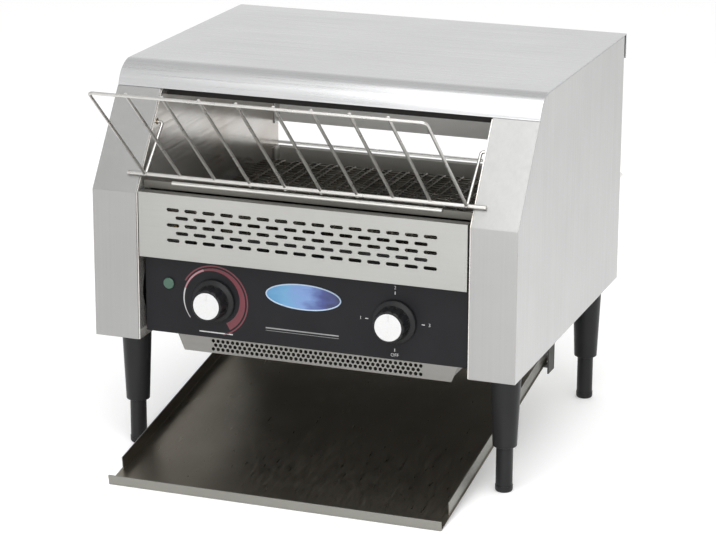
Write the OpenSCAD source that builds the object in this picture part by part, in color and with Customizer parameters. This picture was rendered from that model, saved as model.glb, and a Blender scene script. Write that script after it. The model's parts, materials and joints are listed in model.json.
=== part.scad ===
// Counter-top conveyor toaster: bread slides from the wire rack on to a chain-driven wire
// belt, passes between two rows of heating tubes, drops down the chute behind the belt and
// comes forward on the tray under the body.
// X runs left to right, Y from the front to the rear, Z up from the counter.

/* [Housing] */
// Width over the two side covers
body_w = 418; // [400:1:460]
// Depth from the front stiles to the rear face
body_d = 358; // [350:1:400]
// Height of the housing from its underside to the roof
housing_h = 253; // [250:1:270]
// Height of the housing's underside above the counter
leg_h = 121; // [110:1:140]
// Width of each side housing
stile_w = 44.5; // [42:0.5:52]
// Height above the underside where the stiles start to lean back
knee_up = 144; // [140:1:150]
// Drop of the hood's front lip below the roof
lip_drop = 22; // [20:1:25]
// How far the hood stands back from the stiles
hood_setback = 61; // [56:1:66]
// Outer radius of the hood's rolled front
roll_r = 28; // [24:1:30]
// How far the roof runs out past the rear face
roof_overhang = 8; // [4:1:12]
// Depth of the flange at the rear of the roof
roof_drop = 25; // [15:1:35]
// Thickness of the housing's sheet steel
sheet = 1.2; // [1:0.1:1.5]
// Width of the flanges that join the sheets
flange_w = 14; // [10:1:18]

/* [Rear window and guard] */
// Height of the rear window's sill above the underside
window_up = 107; // [104:1:112]
// Height of the rear window
window_h = 26; // [20:1:30]
// How far the wire guard stands out behind the rear face
guard_out = 27; // [20:1:40]
// Radius of the guard's wire
guard_r = 2; // [1.5:0.25:3]
// Height of the guard above the underside
guard_up = 103.4; // [100:0.2:120]

/* [Front panels] */
// Height of the black control panel
panel_h = 76; // [74:1:80]
// Height of the control panel's lower edge above the underside
panel_up = 7; // [6:1:9]
// How far the control panel is set back behind the stiles
panel_recess = 10; // [6:1:12]
// Height of the slotted vent panel
vent_h = 63; // [60:1:64]
// Gap between the vent panel and the walls at each side
vent_gap = 1.5; // [1:0.25:3]
// Length of one vent slot
slot_l = 12.5; // [8:0.5:14]
// Height of one vent slot
slot_h = 3.2; // [2:0.1:4]
// Distance between slots in a row
slot_pitch = 18.1; // [17:0.1:24]
// Distance between rows of slots
slot_row = 7.4; // [6:0.1:8]
// Number of rows of slots
slot_rows = 5; // [3:1:6]

/* [Controls] */
// Distance of each knob from the middle of the panel
knob_x = 90; // [70:1:110]
// Height of the knobs above the panel's lower edge
knob_up = 37; // [30:1:45]
// Radius of a knob's skirt
knob_r = 21; // [17:0.5:23]
// Radius of a knob's bright face disc
cap_r = 13; // [10:0.5:14]
// How far a knob stands out of the panel
knob_out = 20; // [16:1:24]
// Radius of a knob's spindle
spindle_r = 3; // [2.5:0.25:3.5]
// Radius of the indicator lens
lens_r = 5; // [4:0.5:7]
// Width of the plain badge plate
badge_w = 75; // [50:1:90]
// Height of the plain badge plate
badge_h = 25; // [16:1:30]

/* [Feed rack] */
// How far the rack's top rail reaches ahead of the stiles
rack_reach = 108; // [90:1:120]
// Height of the rack's top rail above the roof
rack_top_over = 11; // [3:1:17]
// Height of the rack's bottom rail above the underside
rack_low_up = 161; // [156:1:166]
// Drop of the rack's pivot below the roof
pivot_drop = 51; // [45:1:57]
// Distance of the pivot behind the sloping front edge
pivot_in = 9; // [8.5:0.5:12]
// Radius of the rack's wires
wire_r = 1.5; // [1.25:0.05:2]
// Radius of the rack's bottom rail
rail_r = 2; // [1.5:0.25:2.5]
// Number of wires across the rack
rack_wires = 10; // [6:1:14]

/* [Belt and drive] */
// Height of the two belt shafts above the underside
shaft_up = 83; // [82:1:85]
// Distance of the front belt shaft behind the stiles
front_shaft_in = 91; // [90:1:96]
// Distance of the rear belt shaft ahead of the rear face
rear_shaft_in = 67; // [64:1:80]
// Radius of the belt's turn, to the middle of its wires
belt_r = 24; // [22:0.5:25]
// Radius of the belt's wires
belt_wire_r = 1.1; // [0.9:0.1:1.3]
// Distance between the belt's wires
belt_pitch = 8; // [7:0.5:12]
// Gap between the belt and the wall at each side
belt_gap = 8; // [6:0.5:14]
// Radius of the belt shafts
shaft_r = 5; // [4:0.5:6]
// Teeth on the gear motor's sprocket
motor_teeth = 12; // [10:1:13]
// Teeth on the shaft's sprocket
shaft_teeth = 18; // [16:1:19]
// Pitch of the drive chain
chain_pitch = 6.35; // [6:0.05:6.6]
// Radius of the gear motor
motor_r = 25; // [20:1:27]
// Depth of the gear motor
motor_depth = 20; // [16:1:22]

/* [Heating] */
// Radius of a heating tube
tube_r = 4.5; // [4:0.25:5]
// Number of tubes in each row
tubes = 3; // [2:1:3]
// Distance of the outer tubes of a row from the belt shafts
tube_in = 48; // [44:1:52]
// Depth of the upper tubes below the roof
upper_drop = 36; // [34:1:38]

/* [Cooling fan] */
// Width across the square fan
fan_w = 60; // [50:1:60]
// Depth of the fan
fan_depth = 25; // [20:1:28]
// Number of blades
fan_blades = 7; // [5:1:9]

/* [Crumb pan and chute] */
// Height of the crumb pan
pan_h = 16.5; // [15:0.5:20]
// Drop of the pan's top edge below the housing
pan_drop = 3; // [2.5:0.5:6]
// Gap between the top of the pan's front and the wall at each side
pan_side = 21.3; // [14:0.1:28]
// Distance of the pan's front behind the stiles
pan_in = 41; // [36:1:50]
// Depth of the pan
pan_d = 208; // [180:1:220]
// Radius of the chute's bend
chute_r = 74; // [66:1:78]
// Height of the chute's lower edge below the housing
chute_drop = 45; // [42:1:50]

/* [Toast tray] */
// Distance of each side of the tray from the outside of the housing
tray_side = 44.5; // [43:0.5:54]
// How far the tray's front edge reaches ahead of the stiles
tray_reach = 72; // [50:1:90]
// Distance of the tray's rear edge behind the stiles
tray_back = 274; // [262:1:280]
// Depth of the tray's rear edge below the housing
tray_drop = 64; // [62:1:68]
// Height of the tray's side walls
tray_wall = 13.5; // [8:0.5:16]
// Height of the tray's folded front lip
tray_lip = 9.5; // [6:0.5:13]
// Length of the tray's flat front, ahead of its side walls
tray_apron = 28; // [20:1:60]

/* [Legs] */
// Distance of each leg from the outside of the housing
leg_side = 22; // [21:1:25]
// Distance of the front legs behind the stiles
leg_in = 45; // [30:1:50]
// Distance of the rear legs ahead of the rear face
rear_leg_in = 33; // [30:1:50]
// Radius of a leg's sleeve at the top
leg_top_r = 14.5; // [14:0.5:18]
// Radius of a leg's sleeve at the bottom
leg_low_r = 11.5; // [10:0.1:13]
// Height of the sleeve's lower end above the counter
foot_h = 45; // [40:1:60]
// Radius of an adjustable foot
foot_r = 8; // [7:0.5:9]

/* [Fits] */
// Clearance round a turning or sliding pin
run_gap = 0.07; // [0.04:0.01:0.1]
// Clearance between parts that are assembled face to face
seat_gap = 0.2; // [0.1:0.05:0.3]
// Clearance between parts that move past each other
move_gap = 0.4; // [0.3:0.05:0.6]

/* [Hidden] */
$fn = 48;

steel = [0.80, 0.80, 0.79];
bright = [0.88, 0.88, 0.87];
dark = [0.20, 0.19, 0.17];
black = [0.09, 0.09, 0.10];
ceramic = [0.90, 0.87, 0.80];

// The box round the whole toaster is centred on the frame: the rack sets its front, the
// guard its rear.
front_out = rack_reach + wire_r;
front_y = (front_out - guard_out - body_d) / 2;
rear_y = front_y + body_d;
base_z = leg_h;
roof_z = base_z + housing_h;
knee_z = base_z + knee_up;
lip_z = roof_z - lip_drop;
roof_rear_y = rear_y + roof_overhang;
roll_y = front_y + hood_setback + roll_r;
roll_z = roof_z - roll_r;
side_x = body_w / 2;
wall_out = side_x - stile_w;
wall_in = wall_out - sheet;
overlap = 1;

// The stile's sloping edge, from the knee to the hood's lip
slope_rise = lip_z - knee_z;
slope_len = norm([hood_setback, slope_rise]);
function slope_y(z, inset) =
    front_y + (z - knee_z) * hood_setback / slope_rise + inset * slope_len / slope_rise;

// ---- shared helpers -------------------------------------------------------------------

// A side profile drawn in (Y, Z), given a width along X
module across(x, w) {
    translate([x, 0, 0])
        rotate([90, 0, 90])
            linear_extrude(w)
                children();
}

// A front view drawn in (X, Z), given a depth towards the rear
module facing(y, d) {
    translate([0, y + d, 0])
        rotate([90, 0, 0])
            linear_extrude(d)
                children();
}

module mirrored() {
    children();
    mirror([1, 0, 0]) children();
}

module block(low, high) {
    translate(low) cube(high - low);
}

module rod_x(x, y, z, r, l) {
    translate([x, y, z]) rotate([0, 90, 0]) cylinder(r = r, h = l);
}

module rod_y(x, y, z, r, l) {
    translate([x, y, z]) rotate([-90, 0, 0]) cylinder(r = r, h = l);
}

module wire(a, b, r) {
    step = b - a;
    translate(a)
        rotate([0, acos(step.z / norm(step)), atan2(step.y, step.x)])
            rotate(40)
                cylinder(r = r, h = norm(step), $fn = 24);
}

module elbow(p, r) {
    translate(p) sphere(r = r, $fn = 24);
}

// A slot with round ends, lying along the first axis
module slot(l, h) {
    square([l - h, h], center = true);
    translate([(l - h) / 2, 0]) circle(d = h, $fn = 24);
    translate([-(l - h) / 2, 0]) circle(d = h, $fn = 24);
}

// ---- housing --------------------------------------------------------------------------

// Outline of a side housing in (Y, Z), drawn in by inset; low lets a cutter run out below
module housing_outline(inset, low = 0) {
    top_z = lip_z - inset;
    rear = rear_y - inset;
    polygon([
        [front_y + inset, base_z - low],
        [front_y + inset, knee_z - inset * (slope_len - slope_rise) / hood_setback],
        [slope_y(top_z, inset), top_z],
        [rear, top_z],
        [rear, base_z - low]
    ]);
    translate([roll_y, roll_z]) circle(r = roll_r - sheet - inset, $fn = 96);
    translate([roll_y, roll_z])
        square([rear - roll_y, roll_r - sheet - inset]);
}

// A folded rim that follows the housing's outline
module housing_rim(x, w, inset) {
    difference() {
        across(x, w) housing_outline(inset);
        across(x - overlap, w + 2 * overlap) housing_outline(inset + sheet, overlap);
    }
}

gland_x = side_x - 17;
gland_up = 32;
gland_z = base_z + gland_up;
gland_r = 8;
guard_in = 4;
guard_x = side_x - guard_in;
guard_z = base_z + guard_up;

module side_cover() {
    difference() {
        union() {
            housing_rim(wall_out, stile_w - sheet + overlap / 2, 0);
            across(side_x - sheet, sheet) housing_outline(0);
        }
        rod_y(guard_x, rear_y - sheet - overlap, guard_z, guard_r + run_gap, sheet + 2 * overlap);
    }
}

module left_side_cover() {
    color(steel)
        difference() {
            mirror([1, 0, 0]) side_cover();
            rod_y(-gland_x, rear_y - sheet - overlap, gland_z, gland_r + seat_gap,
                  sheet + 2 * overlap);
        }
}

module right_side_cover() {
    color(steel) side_cover();
}

leg_x = side_x - leg_side;
stud_r = 4;
plate_t = 1.5;
front_leg_y = front_y + leg_in;
rear_leg_y = rear_y - rear_leg_in;
inlet_slots = 6;
inlet_step = 9;
inlet_from = 45;
inlet_l = 24;
inlet_w = 3;

// Floor of each side housing, with air slots between the legs
module base_plate() {
    fold = 2 * (sheet + seat_gap);
    difference() {
        block([wall_out + seat_gap, front_y + fold, base_z],
              [side_x - sheet - seat_gap, rear_y - fold, base_z + plate_t]);
        for (y = [front_leg_y, rear_leg_y])
            translate([leg_x, y, base_z - overlap])
                cylinder(r = stud_r + seat_gap, h = plate_t + 2 * overlap);
        for (i = [0:inlet_slots - 1])
            translate([side_x - stile_w / 2, front_leg_y + inlet_from + i * inlet_step, base_z - overlap])
                linear_extrude(plate_t + 2 * overlap)
                    slot(inlet_l, inlet_w);
    }
}

module base_plates() {
    color(steel) mirrored() base_plate();
}

// ---- belt, shafts and heating: places shared with the inner walls -----------------------

shaft_z = base_z + shaft_up;
front_shaft_y = front_y + front_shaft_in;
rear_shaft_y = rear_y - rear_shaft_in;
belt_run = rear_shaft_y - front_shaft_y;
belt_mid_y = (front_shaft_y + rear_shaft_y) / 2;
belt_top_z = shaft_z + belt_r + belt_wire_r;
bush_r = 7;
rail_rod_r = 2.5;
rail_rod_drop = 8;
rail_rod_z = shaft_z + belt_r - belt_wire_r - rail_rod_drop;
rail_rod_in = 74;
rail_rod_ys = [front_shaft_y + rail_rod_in, rear_shaft_y - rail_rod_in];
upper_tube_z = roof_z - upper_drop;
lower_tube_z = shaft_z + 1;
tube_step = (belt_run - 2 * tube_in) / (tubes - 1);
tube_ys = [for (i = [0:tubes - 1]) belt_mid_y + (i - (tubes - 1) / 2) * tube_step];
holder_r = 7;
pivot_z = roof_z - pivot_drop;
pivot_y = slope_y(pivot_z, 0) + pivot_in;
rack_bush_r = 3;
fan_in = 6;
fan_up = 16;
fan_rim = 3;
fan_y = front_y + sheet + fan_w / 2 + fan_in;
fan_z = base_z + fan_w / 2 + fan_up;
fan_open_r = fan_w / 2 - fan_rim;

module inner_wall(has_fan) {
    in = sheet + seat_gap;
    difference() {
        union() {
            across(wall_in, sheet) housing_outline(in);
            housing_rim(wall_out - overlap / 2, flange_w + overlap / 2, in);
        }
        for (y = [front_shaft_y, rear_shaft_y])
            rod_x(wall_in - overlap, y, shaft_z, bush_r + seat_gap, sheet + 2 * overlap);
        for (y = rail_rod_ys)
            rod_x(wall_in - overlap, y, rail_rod_z, rail_rod_r + seat_gap, sheet + 2 * overlap);
        for (y = tube_ys)
            for (z = [upper_tube_z, lower_tube_z])
                rod_x(wall_in - overlap, y, z, holder_r + seat_gap, sheet + 2 * overlap);
        rod_x(wall_in - overlap, pivot_y, pivot_z, rack_bush_r + seat_gap, sheet + 2 * overlap);
        if (has_fan)
            rod_x(wall_in - overlap, fan_y, fan_z, fan_open_r, sheet + 2 * overlap);
    }
}

module left_inner_wall() {
    color(bright) mirror([1, 0, 0]) inner_wall(true);
}

module right_inner_wall() {
    color(bright) inner_wall(false);
}

// Roof with its rolled front: outline in (Y, Z)
module roof_outline(inset) {
    intersection() {
        union() {
            translate([roll_y, roll_z]) circle(r = roll_r - inset, $fn = 96);
            translate([roll_y, roof_z - roof_drop - (inset > 0 ? overlap : 0)])
                square([roof_rear_y - inset - roll_y,
                        roof_drop - inset + (inset > 0 ? overlap : 0)]);
        }
        translate([front_y, lip_z - (inset > 0 ? overlap : 0)])
            square([roof_rear_y - front_y, housing_h]);
    }
}

module top_cover() {
    color(bright)
        difference() {
            union() {
                across(-side_x, body_w) roof_outline(0);
                block([-side_x, roof_rear_y - sheet, roof_z - roof_drop],
                      [side_x, roof_rear_y, roof_z - sheet]);
            }
            across(-side_x - overlap, body_w + 2 * overlap) roof_outline(sheet);
        }
}

window_z = base_z + window_up;
louvre_rows = 3;
louvres = 9;
louvre_row = 9;
louvre_l = 24;
louvre_side = 23;
louvre_pitch = (2 * wall_in - louvre_l - 2 * louvre_side) / (louvres - 1);
louvre_h = 4;
louvre_drop = 45;

// Sheet with a flange along each wall; the rear window is the gap between two of them
module back_sheet(low_z, high_z) {
    half = wall_out - seat_gap;
    block([-half, rear_y - sheet, low_z], [half, rear_y, high_z]);
    mirrored()
        block([wall_in - seat_gap - sheet, rear_y - flange_w, low_z],
              [wall_in - seat_gap, rear_y - sheet / 2, high_z]);
}

module back_panel() {
    color(steel)
        difference() {
            back_sheet(window_z + window_h, roof_z - sheet - seat_gap);
            for (row = [0:louvre_rows - 1])
                for (i = [0:louvres - 1])
                    facing(rear_y - sheet - overlap, sheet + 2 * overlap)
                        translate([(i - (louvres - 1) / 2) * louvre_pitch,
                                   roof_z - louvre_drop + row * louvre_row])
                            slot(louvre_l, louvre_h);
        }
}

module lower_back_panel() {
    color(steel) back_sheet(base_z, window_z);
}

reflector_in = 13;
reflector_below = 8;
reflector_over = 9;
reflector_rear_drop = 14;
reflector_rear_gap = 2;
reflector_front_y = front_y + hood_setback + reflector_in;
reflector_low_z = lip_z - reflector_below;
reflector_z = upper_tube_z + tube_r + reflector_over;

// Bent sheet over the upper tubes: a front apron, a flat top and a rear apron
module upper_reflector() {
    half = wall_in - seat_gap;
    rear = rear_y - flange_w - reflector_rear_gap;
    color(dark) {
        block([-half, reflector_front_y, reflector_low_z],
              [half, reflector_front_y + sheet, reflector_z + sheet]);
        block([-half, reflector_front_y, reflector_z], [half, rear, reflector_z + sheet]);
        block([-half, rear - sheet, lip_z - reflector_rear_drop],
              [half, rear, reflector_z + sheet]);
    }
}

// ---- front panels ---------------------------------------------------------------------

panel_y = front_y + panel_recess;
panel_low_z = base_z + panel_up;
panel_high_z = panel_low_z + panel_h;
panel_gap = 3;
panel_half = wall_in - panel_gap;
vent_half = wall_in - vent_gap;
vent_high_z = panel_high_z + vent_h;
slot_drop = 14.8;
slot_side = 29;
slot_top_z = vent_high_z - slot_drop;
slots_in_row = floor(2 * (vent_half - slot_side) / slot_pitch);

module vent_slots() {
    for (row = [0:slot_rows - 1])
        for (i = [0:slots_in_row - 1 + (row % 2 == 0 ? 1 : 0)])
            translate([(i - (slots_in_row - (row % 2 == 0 ? 0 : 1)) / 2) * slot_pitch,
                       slot_top_z - row * slot_row])
                slot(slot_l, slot_h);
}

module vent_panel() {
    color(steel)
        difference() {
            union() {
                block([-vent_half, front_y, panel_high_z], [vent_half, front_y + sheet, vent_high_z]);
                block([-vent_half, front_y, vent_high_z - sheet],
                      [vent_half, front_y + panel_recess, vent_high_z]);
                block([-vent_half, front_y, panel_high_z],
                      [vent_half, panel_y + flange_w, panel_high_z + sheet]);
                mirrored()
                    block([vent_half - sheet, front_y, panel_high_z],
                          [vent_half, front_y + flange_w, vent_high_z]);
            }
            facing(front_y - overlap, sheet + 2 * overlap) vent_slots();
        }
}

knob_z = panel_low_z + knob_up;
bushing_r = 5;
lens_in = 24.3;
lens_x = lens_in - panel_half;
lens_up = 49.5;
lens_z = panel_low_z + lens_up;
badge_up = 50.5;
badge_z = panel_low_z + badge_up;

module control_panel() {
    color(black)
        difference() {
            union() {
                block([-panel_half, panel_y, panel_low_z],
                      [panel_half, panel_y + sheet, panel_high_z - seat_gap]);
                mirrored()
                    block([panel_half - sheet, panel_y, panel_low_z],
                          [panel_half, panel_y + flange_w, panel_high_z - seat_gap]);
            }
            for (x = [-knob_x, knob_x])
                rod_y(x, panel_y - overlap, knob_z, bushing_r + seat_gap, sheet + 2 * overlap);
            rod_y(lens_x, panel_y - overlap, lens_z, lens_r - 1 + seat_gap, sheet + 2 * overlap);
        }
}

box_clear = 4;
box_lip_h = 10;
box_back_rise = 8;
box_flange_drop = 2;
box_back_y = front_shaft_y - belt_r - belt_wire_r - box_clear;

// Tray behind the control panel that keeps the wiring away from the belt and its heat
module control_box() {
    half = panel_half - sheet - seat_gap;
    front = panel_y + sheet + seat_gap;
    color(steel)
        difference() {
            union() {
                block([-half, front, panel_low_z], [half, box_back_y, panel_low_z + sheet]);
                block([-half, front, panel_low_z], [half, front + sheet, panel_low_z + box_lip_h]);
                block([-wall_in + seat_gap, box_back_y - sheet, panel_low_z],
                      [wall_in - seat_gap, box_back_y, panel_high_z + box_back_rise]);
                mirrored()
                    block([wall_in - seat_gap - sheet, box_back_y - flange_w, panel_low_z],
                          [wall_in - seat_gap, box_back_y, panel_high_z - box_flange_drop]);
            }
            rod_x(-wall_in - overlap, fan_y, fan_z, fan_open_r, 3 * sheet);
        }
}

// Sheet that leads the bread from the rack down to the belt
lip_in = 14;
lip_rise = 8;
lip_short = 30.3;
lip_half = wall_in - lip_short;
lip_roll_r = 2;
lip_l = 15;
lip_y = front_y + lip_in;
lip_edge_z = vent_high_z + lip_rise;
slide_short = 14;
slide_drop = 4;
slide_foot = 2;
slide_end_y = front_shaft_y - slide_short;
slide_end_z = belt_top_z + slide_drop;
slide_wide_y = lip_y + lip_l;
function slide_z(y) =
    lip_edge_z + (y - lip_y) * (slide_end_z - lip_edge_z) / (slide_end_y - lip_y);

module slide_outline(from_y, to_y) {
    polygon([
        [from_y, slide_z(from_y)],
        [to_y, slide_z(to_y)],
        [to_y, slide_z(to_y) - sheet],
        [from_y, slide_z(from_y) - sheet]
    ]);
}

module feed_lip() {
    half = wall_in - seat_gap;
    color(bright) {
        across(-lip_half, 2 * lip_half) slide_outline(lip_y, slide_wide_y + overlap);
        across(-half, 2 * half) slide_outline(slide_wide_y, slide_end_y);
        rod_x(-lip_half, lip_y, lip_edge_z - lip_roll_r / 2, lip_roll_r, 2 * lip_half);
        mirrored()
            across(half - sheet, sheet)
                polygon([
                    [slide_wide_y, slide_z(slide_wide_y)],
                    [slide_end_y, slide_z(slide_end_y)],
                    [slide_end_y, slide_z(slide_end_y) - sheet - slide_foot],
                    [slide_wide_y, slide_z(slide_wide_y) - flange_w]
                ]);
    }
}

// ---- crumb pan, chute and tray ----------------------------------------------------------

pan_high_z = base_z - pan_drop;
pan_low_z = pan_high_z - pan_h;
pan_w = 2 * (wall_in - pan_side);
pan_front_y = front_y + pan_in;
pan_rear_y = pan_front_y + pan_d;
pan_flange_out = 3;
pan_side_in = 10;
pan_flange_half = pan_w / 2 + pan_flange_out;
pan_half = pan_w / 2 - pan_side_in;
pan_flange_from = 6;
pan_rear_low = 4;
rail_from = 38;
rail_short = 5;
rail_side_gap = 2;
rail_shelf_z = pan_high_z - sheet - move_gap - sheet;
pan_taper = 7;
hole_r = 1.6;
hole_step = 5;
hole_side = 35;
hole_cols = 2 * floor((pan_w / 2 - hole_side) / hole_step) + 1;
hole_rows = 3;
hole_row_step = 4.1;
hole_up = 4.2;

// L-section runners, one on each inner wall, that carry the pan's flanges
module pan_rails() {
    color(steel)
        mirrored() {
            block([pan_half + move_gap + rail_side_gap, pan_front_y + rail_from, rail_shelf_z],
                  [wall_in - seat_gap, pan_rear_y - rail_short, rail_shelf_z + sheet]);
            block([wall_in - seat_gap - sheet, pan_front_y + rail_from, rail_shelf_z],
                  [wall_in - seat_gap, pan_rear_y - rail_short, base_z + flange_w]);
        }
}

module pan_holes() {
    for (row = [0:hole_rows - 1])
        for (i = [0:hole_cols - 1 - (row % 2)])
            translate([(i - (hole_cols - 1 - (row % 2)) / 2) * hole_step,
                       pan_low_z + hole_up + row * hole_row_step])
                circle(r = hole_r, $fn = 16);
}

module crumb_pan() {
    color(steel) {
        difference() {
            facing(pan_front_y, sheet)
                polygon([
                    [-pan_w / 2, pan_high_z],
                    [pan_w / 2, pan_high_z],
                    [pan_w / 2 - pan_taper, pan_low_z],
                    [-pan_w / 2 + pan_taper, pan_low_z]
                ]);
            facing(pan_front_y - overlap, sheet + 2 * overlap) pan_holes();
        }
        block([-pan_half, pan_front_y, pan_low_z], [pan_half, pan_rear_y, pan_low_z + sheet]);
        block([-pan_half, pan_rear_y - sheet, pan_low_z], [pan_half, pan_rear_y, pan_high_z - pan_rear_low]);
        mirrored() {
            block([pan_half - sheet, pan_front_y, pan_low_z], [pan_half, pan_rear_y, pan_high_z]);
            block([pan_half - sheet, pan_front_y + pan_flange_from, pan_high_z - sheet],
                  [pan_flange_half, pan_rear_y, pan_high_z]);
        }
    }
}

chute_gap = 3;
chute_below = 1;
chute_rib = 12;
chute_y = rear_y - sheet - chute_gap;
chute_high_z = window_z - chute_below;
chute_low_z = base_z - chute_drop;
chute_bend_y = chute_y - chute_r;
chute_bend_z = chute_low_z + chute_r;
chute_run = 10;

// Chute in (Y, Z): straight down the rear, then a quarter bend towards the tray
module chute_outline(inset) {
    r = chute_r - inset;
    out = inset > 0 ? overlap : 0;
    translate([chute_bend_y, chute_bend_z])
        intersection() {
            circle(r = r, $fn = 96);
            translate([0, -r]) square(r);
        }
    translate([chute_bend_y, chute_bend_z])
        square([r, chute_high_z - chute_bend_z + out]);
    translate([chute_bend_y - chute_run - out, chute_low_z + inset])
        square([chute_run + out, chute_r - inset]);
}

module toast_chute() {
    // Between the back panel's side flanges
    half = wall_in - sheet - 2 * seat_gap;
    color(bright) {
        difference() {
            across(-half, 2 * half) chute_outline(0);
            across(-half - overlap, 2 * half + 2 * overlap) chute_outline(sheet);
            block([-half - overlap, chute_bend_y - chute_run - overlap, chute_low_z + sheet],
                  [half + overlap, chute_bend_y, chute_high_z + overlap]);
        }
        mirrored()
            difference() {
                across(half - sheet, sheet) chute_outline(0);
                across(half - sheet - overlap, sheet + 2 * overlap) chute_outline(chute_rib);
                block([half - sheet - overlap, chute_bend_y - chute_run - overlap,
                       chute_low_z + chute_rib],
                      [half + overlap, chute_bend_y, chute_high_z + overlap]);
            }
    }
}

tray_front_y = front_y - tray_reach;
tray_rear_y = front_y + tray_back;
tray_lift = 0.3;
tray_rear_z = base_z - tray_drop;
tray_angle = atan((tray_rear_z - tray_lift) / (tray_rear_y - tray_front_y));
tray_l = (tray_rear_y - tray_front_y) / cos(tray_angle);
tray_half = side_x - tray_side;
tray_sheet = 1;
tray_fold = 1.5;
tray_wall_in = 1.5;

// Shallow tray that leans forward from its two hanger pins to the counter
module toast_tray() {
    color(dark)
        translate([0, tray_front_y, tray_lift])
            rotate([tray_angle, 0, 0]) {
                block([-tray_half, 0, 0], [tray_half, tray_l, tray_sheet]);
                block([-tray_half, 0, 0], [tray_half, tray_fold, tray_lip]);
                mirrored()
                    block([tray_half - tray_wall_in - tray_sheet, tray_apron, 0],
                          [tray_half - tray_wall_in, tray_l, tray_wall]);
            }
}

hanger_pin_r = 3;
hanger_in = 12;
hanger_gap = 3;
hanger_y = tray_rear_y - hanger_in;
hanger_x = tray_half + hanger_gap;
hanger_pin_z = tray_lift + (hanger_y - tray_front_y) * tan(tray_angle)
    - (hanger_pin_r + move_gap) / cos(tray_angle);
hanger_w = 20;
hanger_pad = 20;
hanger_below = 6;
hanger_reach = 18;

// Strap under each side housing with the pin that the tray's rear rests on
module tray_hangers() {
    strap_x = max(hanger_x, wall_out + 1);
    color(steel)
        mirrored() {
            block([strap_x, hanger_y - hanger_w / 2, base_z - plate_t],
                  [strap_x + hanger_pad, hanger_y + hanger_w / 2, base_z]);
            block([strap_x, hanger_y - hanger_w / 2, hanger_pin_z - hanger_below],
                  [strap_x + plate_t, hanger_y + hanger_w / 2, base_z]);
            rod_x(tray_half - hanger_reach, hanger_y, hanger_pin_z, hanger_pin_r,
                  strap_x + plate_t - tray_half + hanger_reach);
        }
}

// ---- feed rack and guard ----------------------------------------------------------------

rack_low_z = base_z + rack_low_up;
rack_low_y = slope_y(rack_low_z, -rail_r - move_gap);
rack_high_z = roof_z + rack_top_over;
rack_high_y = front_y - rack_reach;
rack_side_gap = 5.5;
rack_rail_past = 11.5;
rack_pin_past = 2;
rack_half = wall_in - rack_side_gap;
rack_rail_half = wall_out + rack_rail_past;
rack_pin_x = wall_out + rack_pin_past;
weld = 0.8;

module feed_rack() {
    low = [0, rack_low_y, rack_low_z];
    high = [0, rack_high_y, rack_high_z];
    pin = [0, pivot_y, pivot_z];
    along = (high - low) / norm(high - low);
    hook = (pin - low) / norm(pin - low);
    // The wires lie on the rack's upper face, sunk a little into the rails by their welds
    face = [0, along.z, -along.y];
    low_lift = rail_r + wire_r - weld;
    high_lift = 2 * wire_r - weld;
    step = 2 * rack_half / (rack_wires - 1);
    color(bright) {
        wire([-rack_rail_half, low.y, low.z], [rack_rail_half, low.y, low.z], rail_r);
        wire([-rack_half, high.y, high.z], [rack_half, high.y, high.z], wire_r);
        for (side = [-1, 1]) {
            x = [side * rack_half, 0, 0];
            wire(low + x + along, high + x, wire_r);
            wire(low + x + hook, pin + x, wire_r);
            wire(pin + x, [side * rack_pin_x, pin.y, pin.z], wire_r);
            elbow(high + x, wire_r + 0.1);
            elbow(pin + x, wire_r + 0.1);
        }
        for (i = [1:rack_wires - 2]) {
            x = [-rack_half + i * step, 0, 0];
            wire(low + x + face * low_lift - along * 2,
                 high + x + face * high_lift - along * 0.5, wire_r);
        }
    }
}

// Flanged bushes in the inner walls that the rack's hooked ends turn in
module rack_bushes() {
    color(ceramic)
        mirrored()
            difference() {
                union() {
                    rod_x(wall_in, pivot_y, pivot_z, rack_bush_r, sheet + 3);
                    rod_x(wall_out + seat_gap, pivot_y, pivot_z, rack_bush_r + 1.2, 2);
                }
                rod_x(wall_in - overlap, pivot_y, pivot_z, wire_r + run_gap, 10);
            }
}

module rear_guard() {
    back = rear_y + guard_out - guard_r;
    guard_seat = sheet + 8;
    color(bright) {
        for (side = [-1, 1]) {
            wire([side * guard_x, rear_y - guard_seat, guard_z], [side * guard_x, back, guard_z],
                 guard_r);
            elbow([side * guard_x, back, guard_z], guard_r + 0.1);
        }
        wire([-guard_x, back, guard_z], [guard_x, back, guard_z], guard_r);
    }
}

// ---- conveyor ---------------------------------------------------------------------------

belt_half = wall_in - belt_gap;
belt_loop = 2 * belt_run + 2 * PI * belt_r;
belt_wires = round(belt_loop / belt_pitch);
belt_links = 5;
link_w = 3;
link_t = 1.3;

// Point on a racetrack of two half turns and two straight runs, at distance s along it
function race(s, run, r) =
    s < run ? [s, r]
    : s < run + PI * r ? [run, 0] + r * [sin((s - run) / r * 180 / PI), cos((s - run) / r * 180 / PI)]
    : s < 2 * run + PI * r ? [2 * run + PI * r - s, -r]
    : r * [-sin((s - 2 * run - PI * r) / r * 180 / PI), -cos((s - 2 * run - PI * r) / r * 180 / PI)];

module race_outline(run, r) {
    circle(r = r, $fn = 96);
    translate([run, 0]) circle(r = r, $fn = 96);
    translate([0, -r]) square([run, 2 * r]);
}

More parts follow.
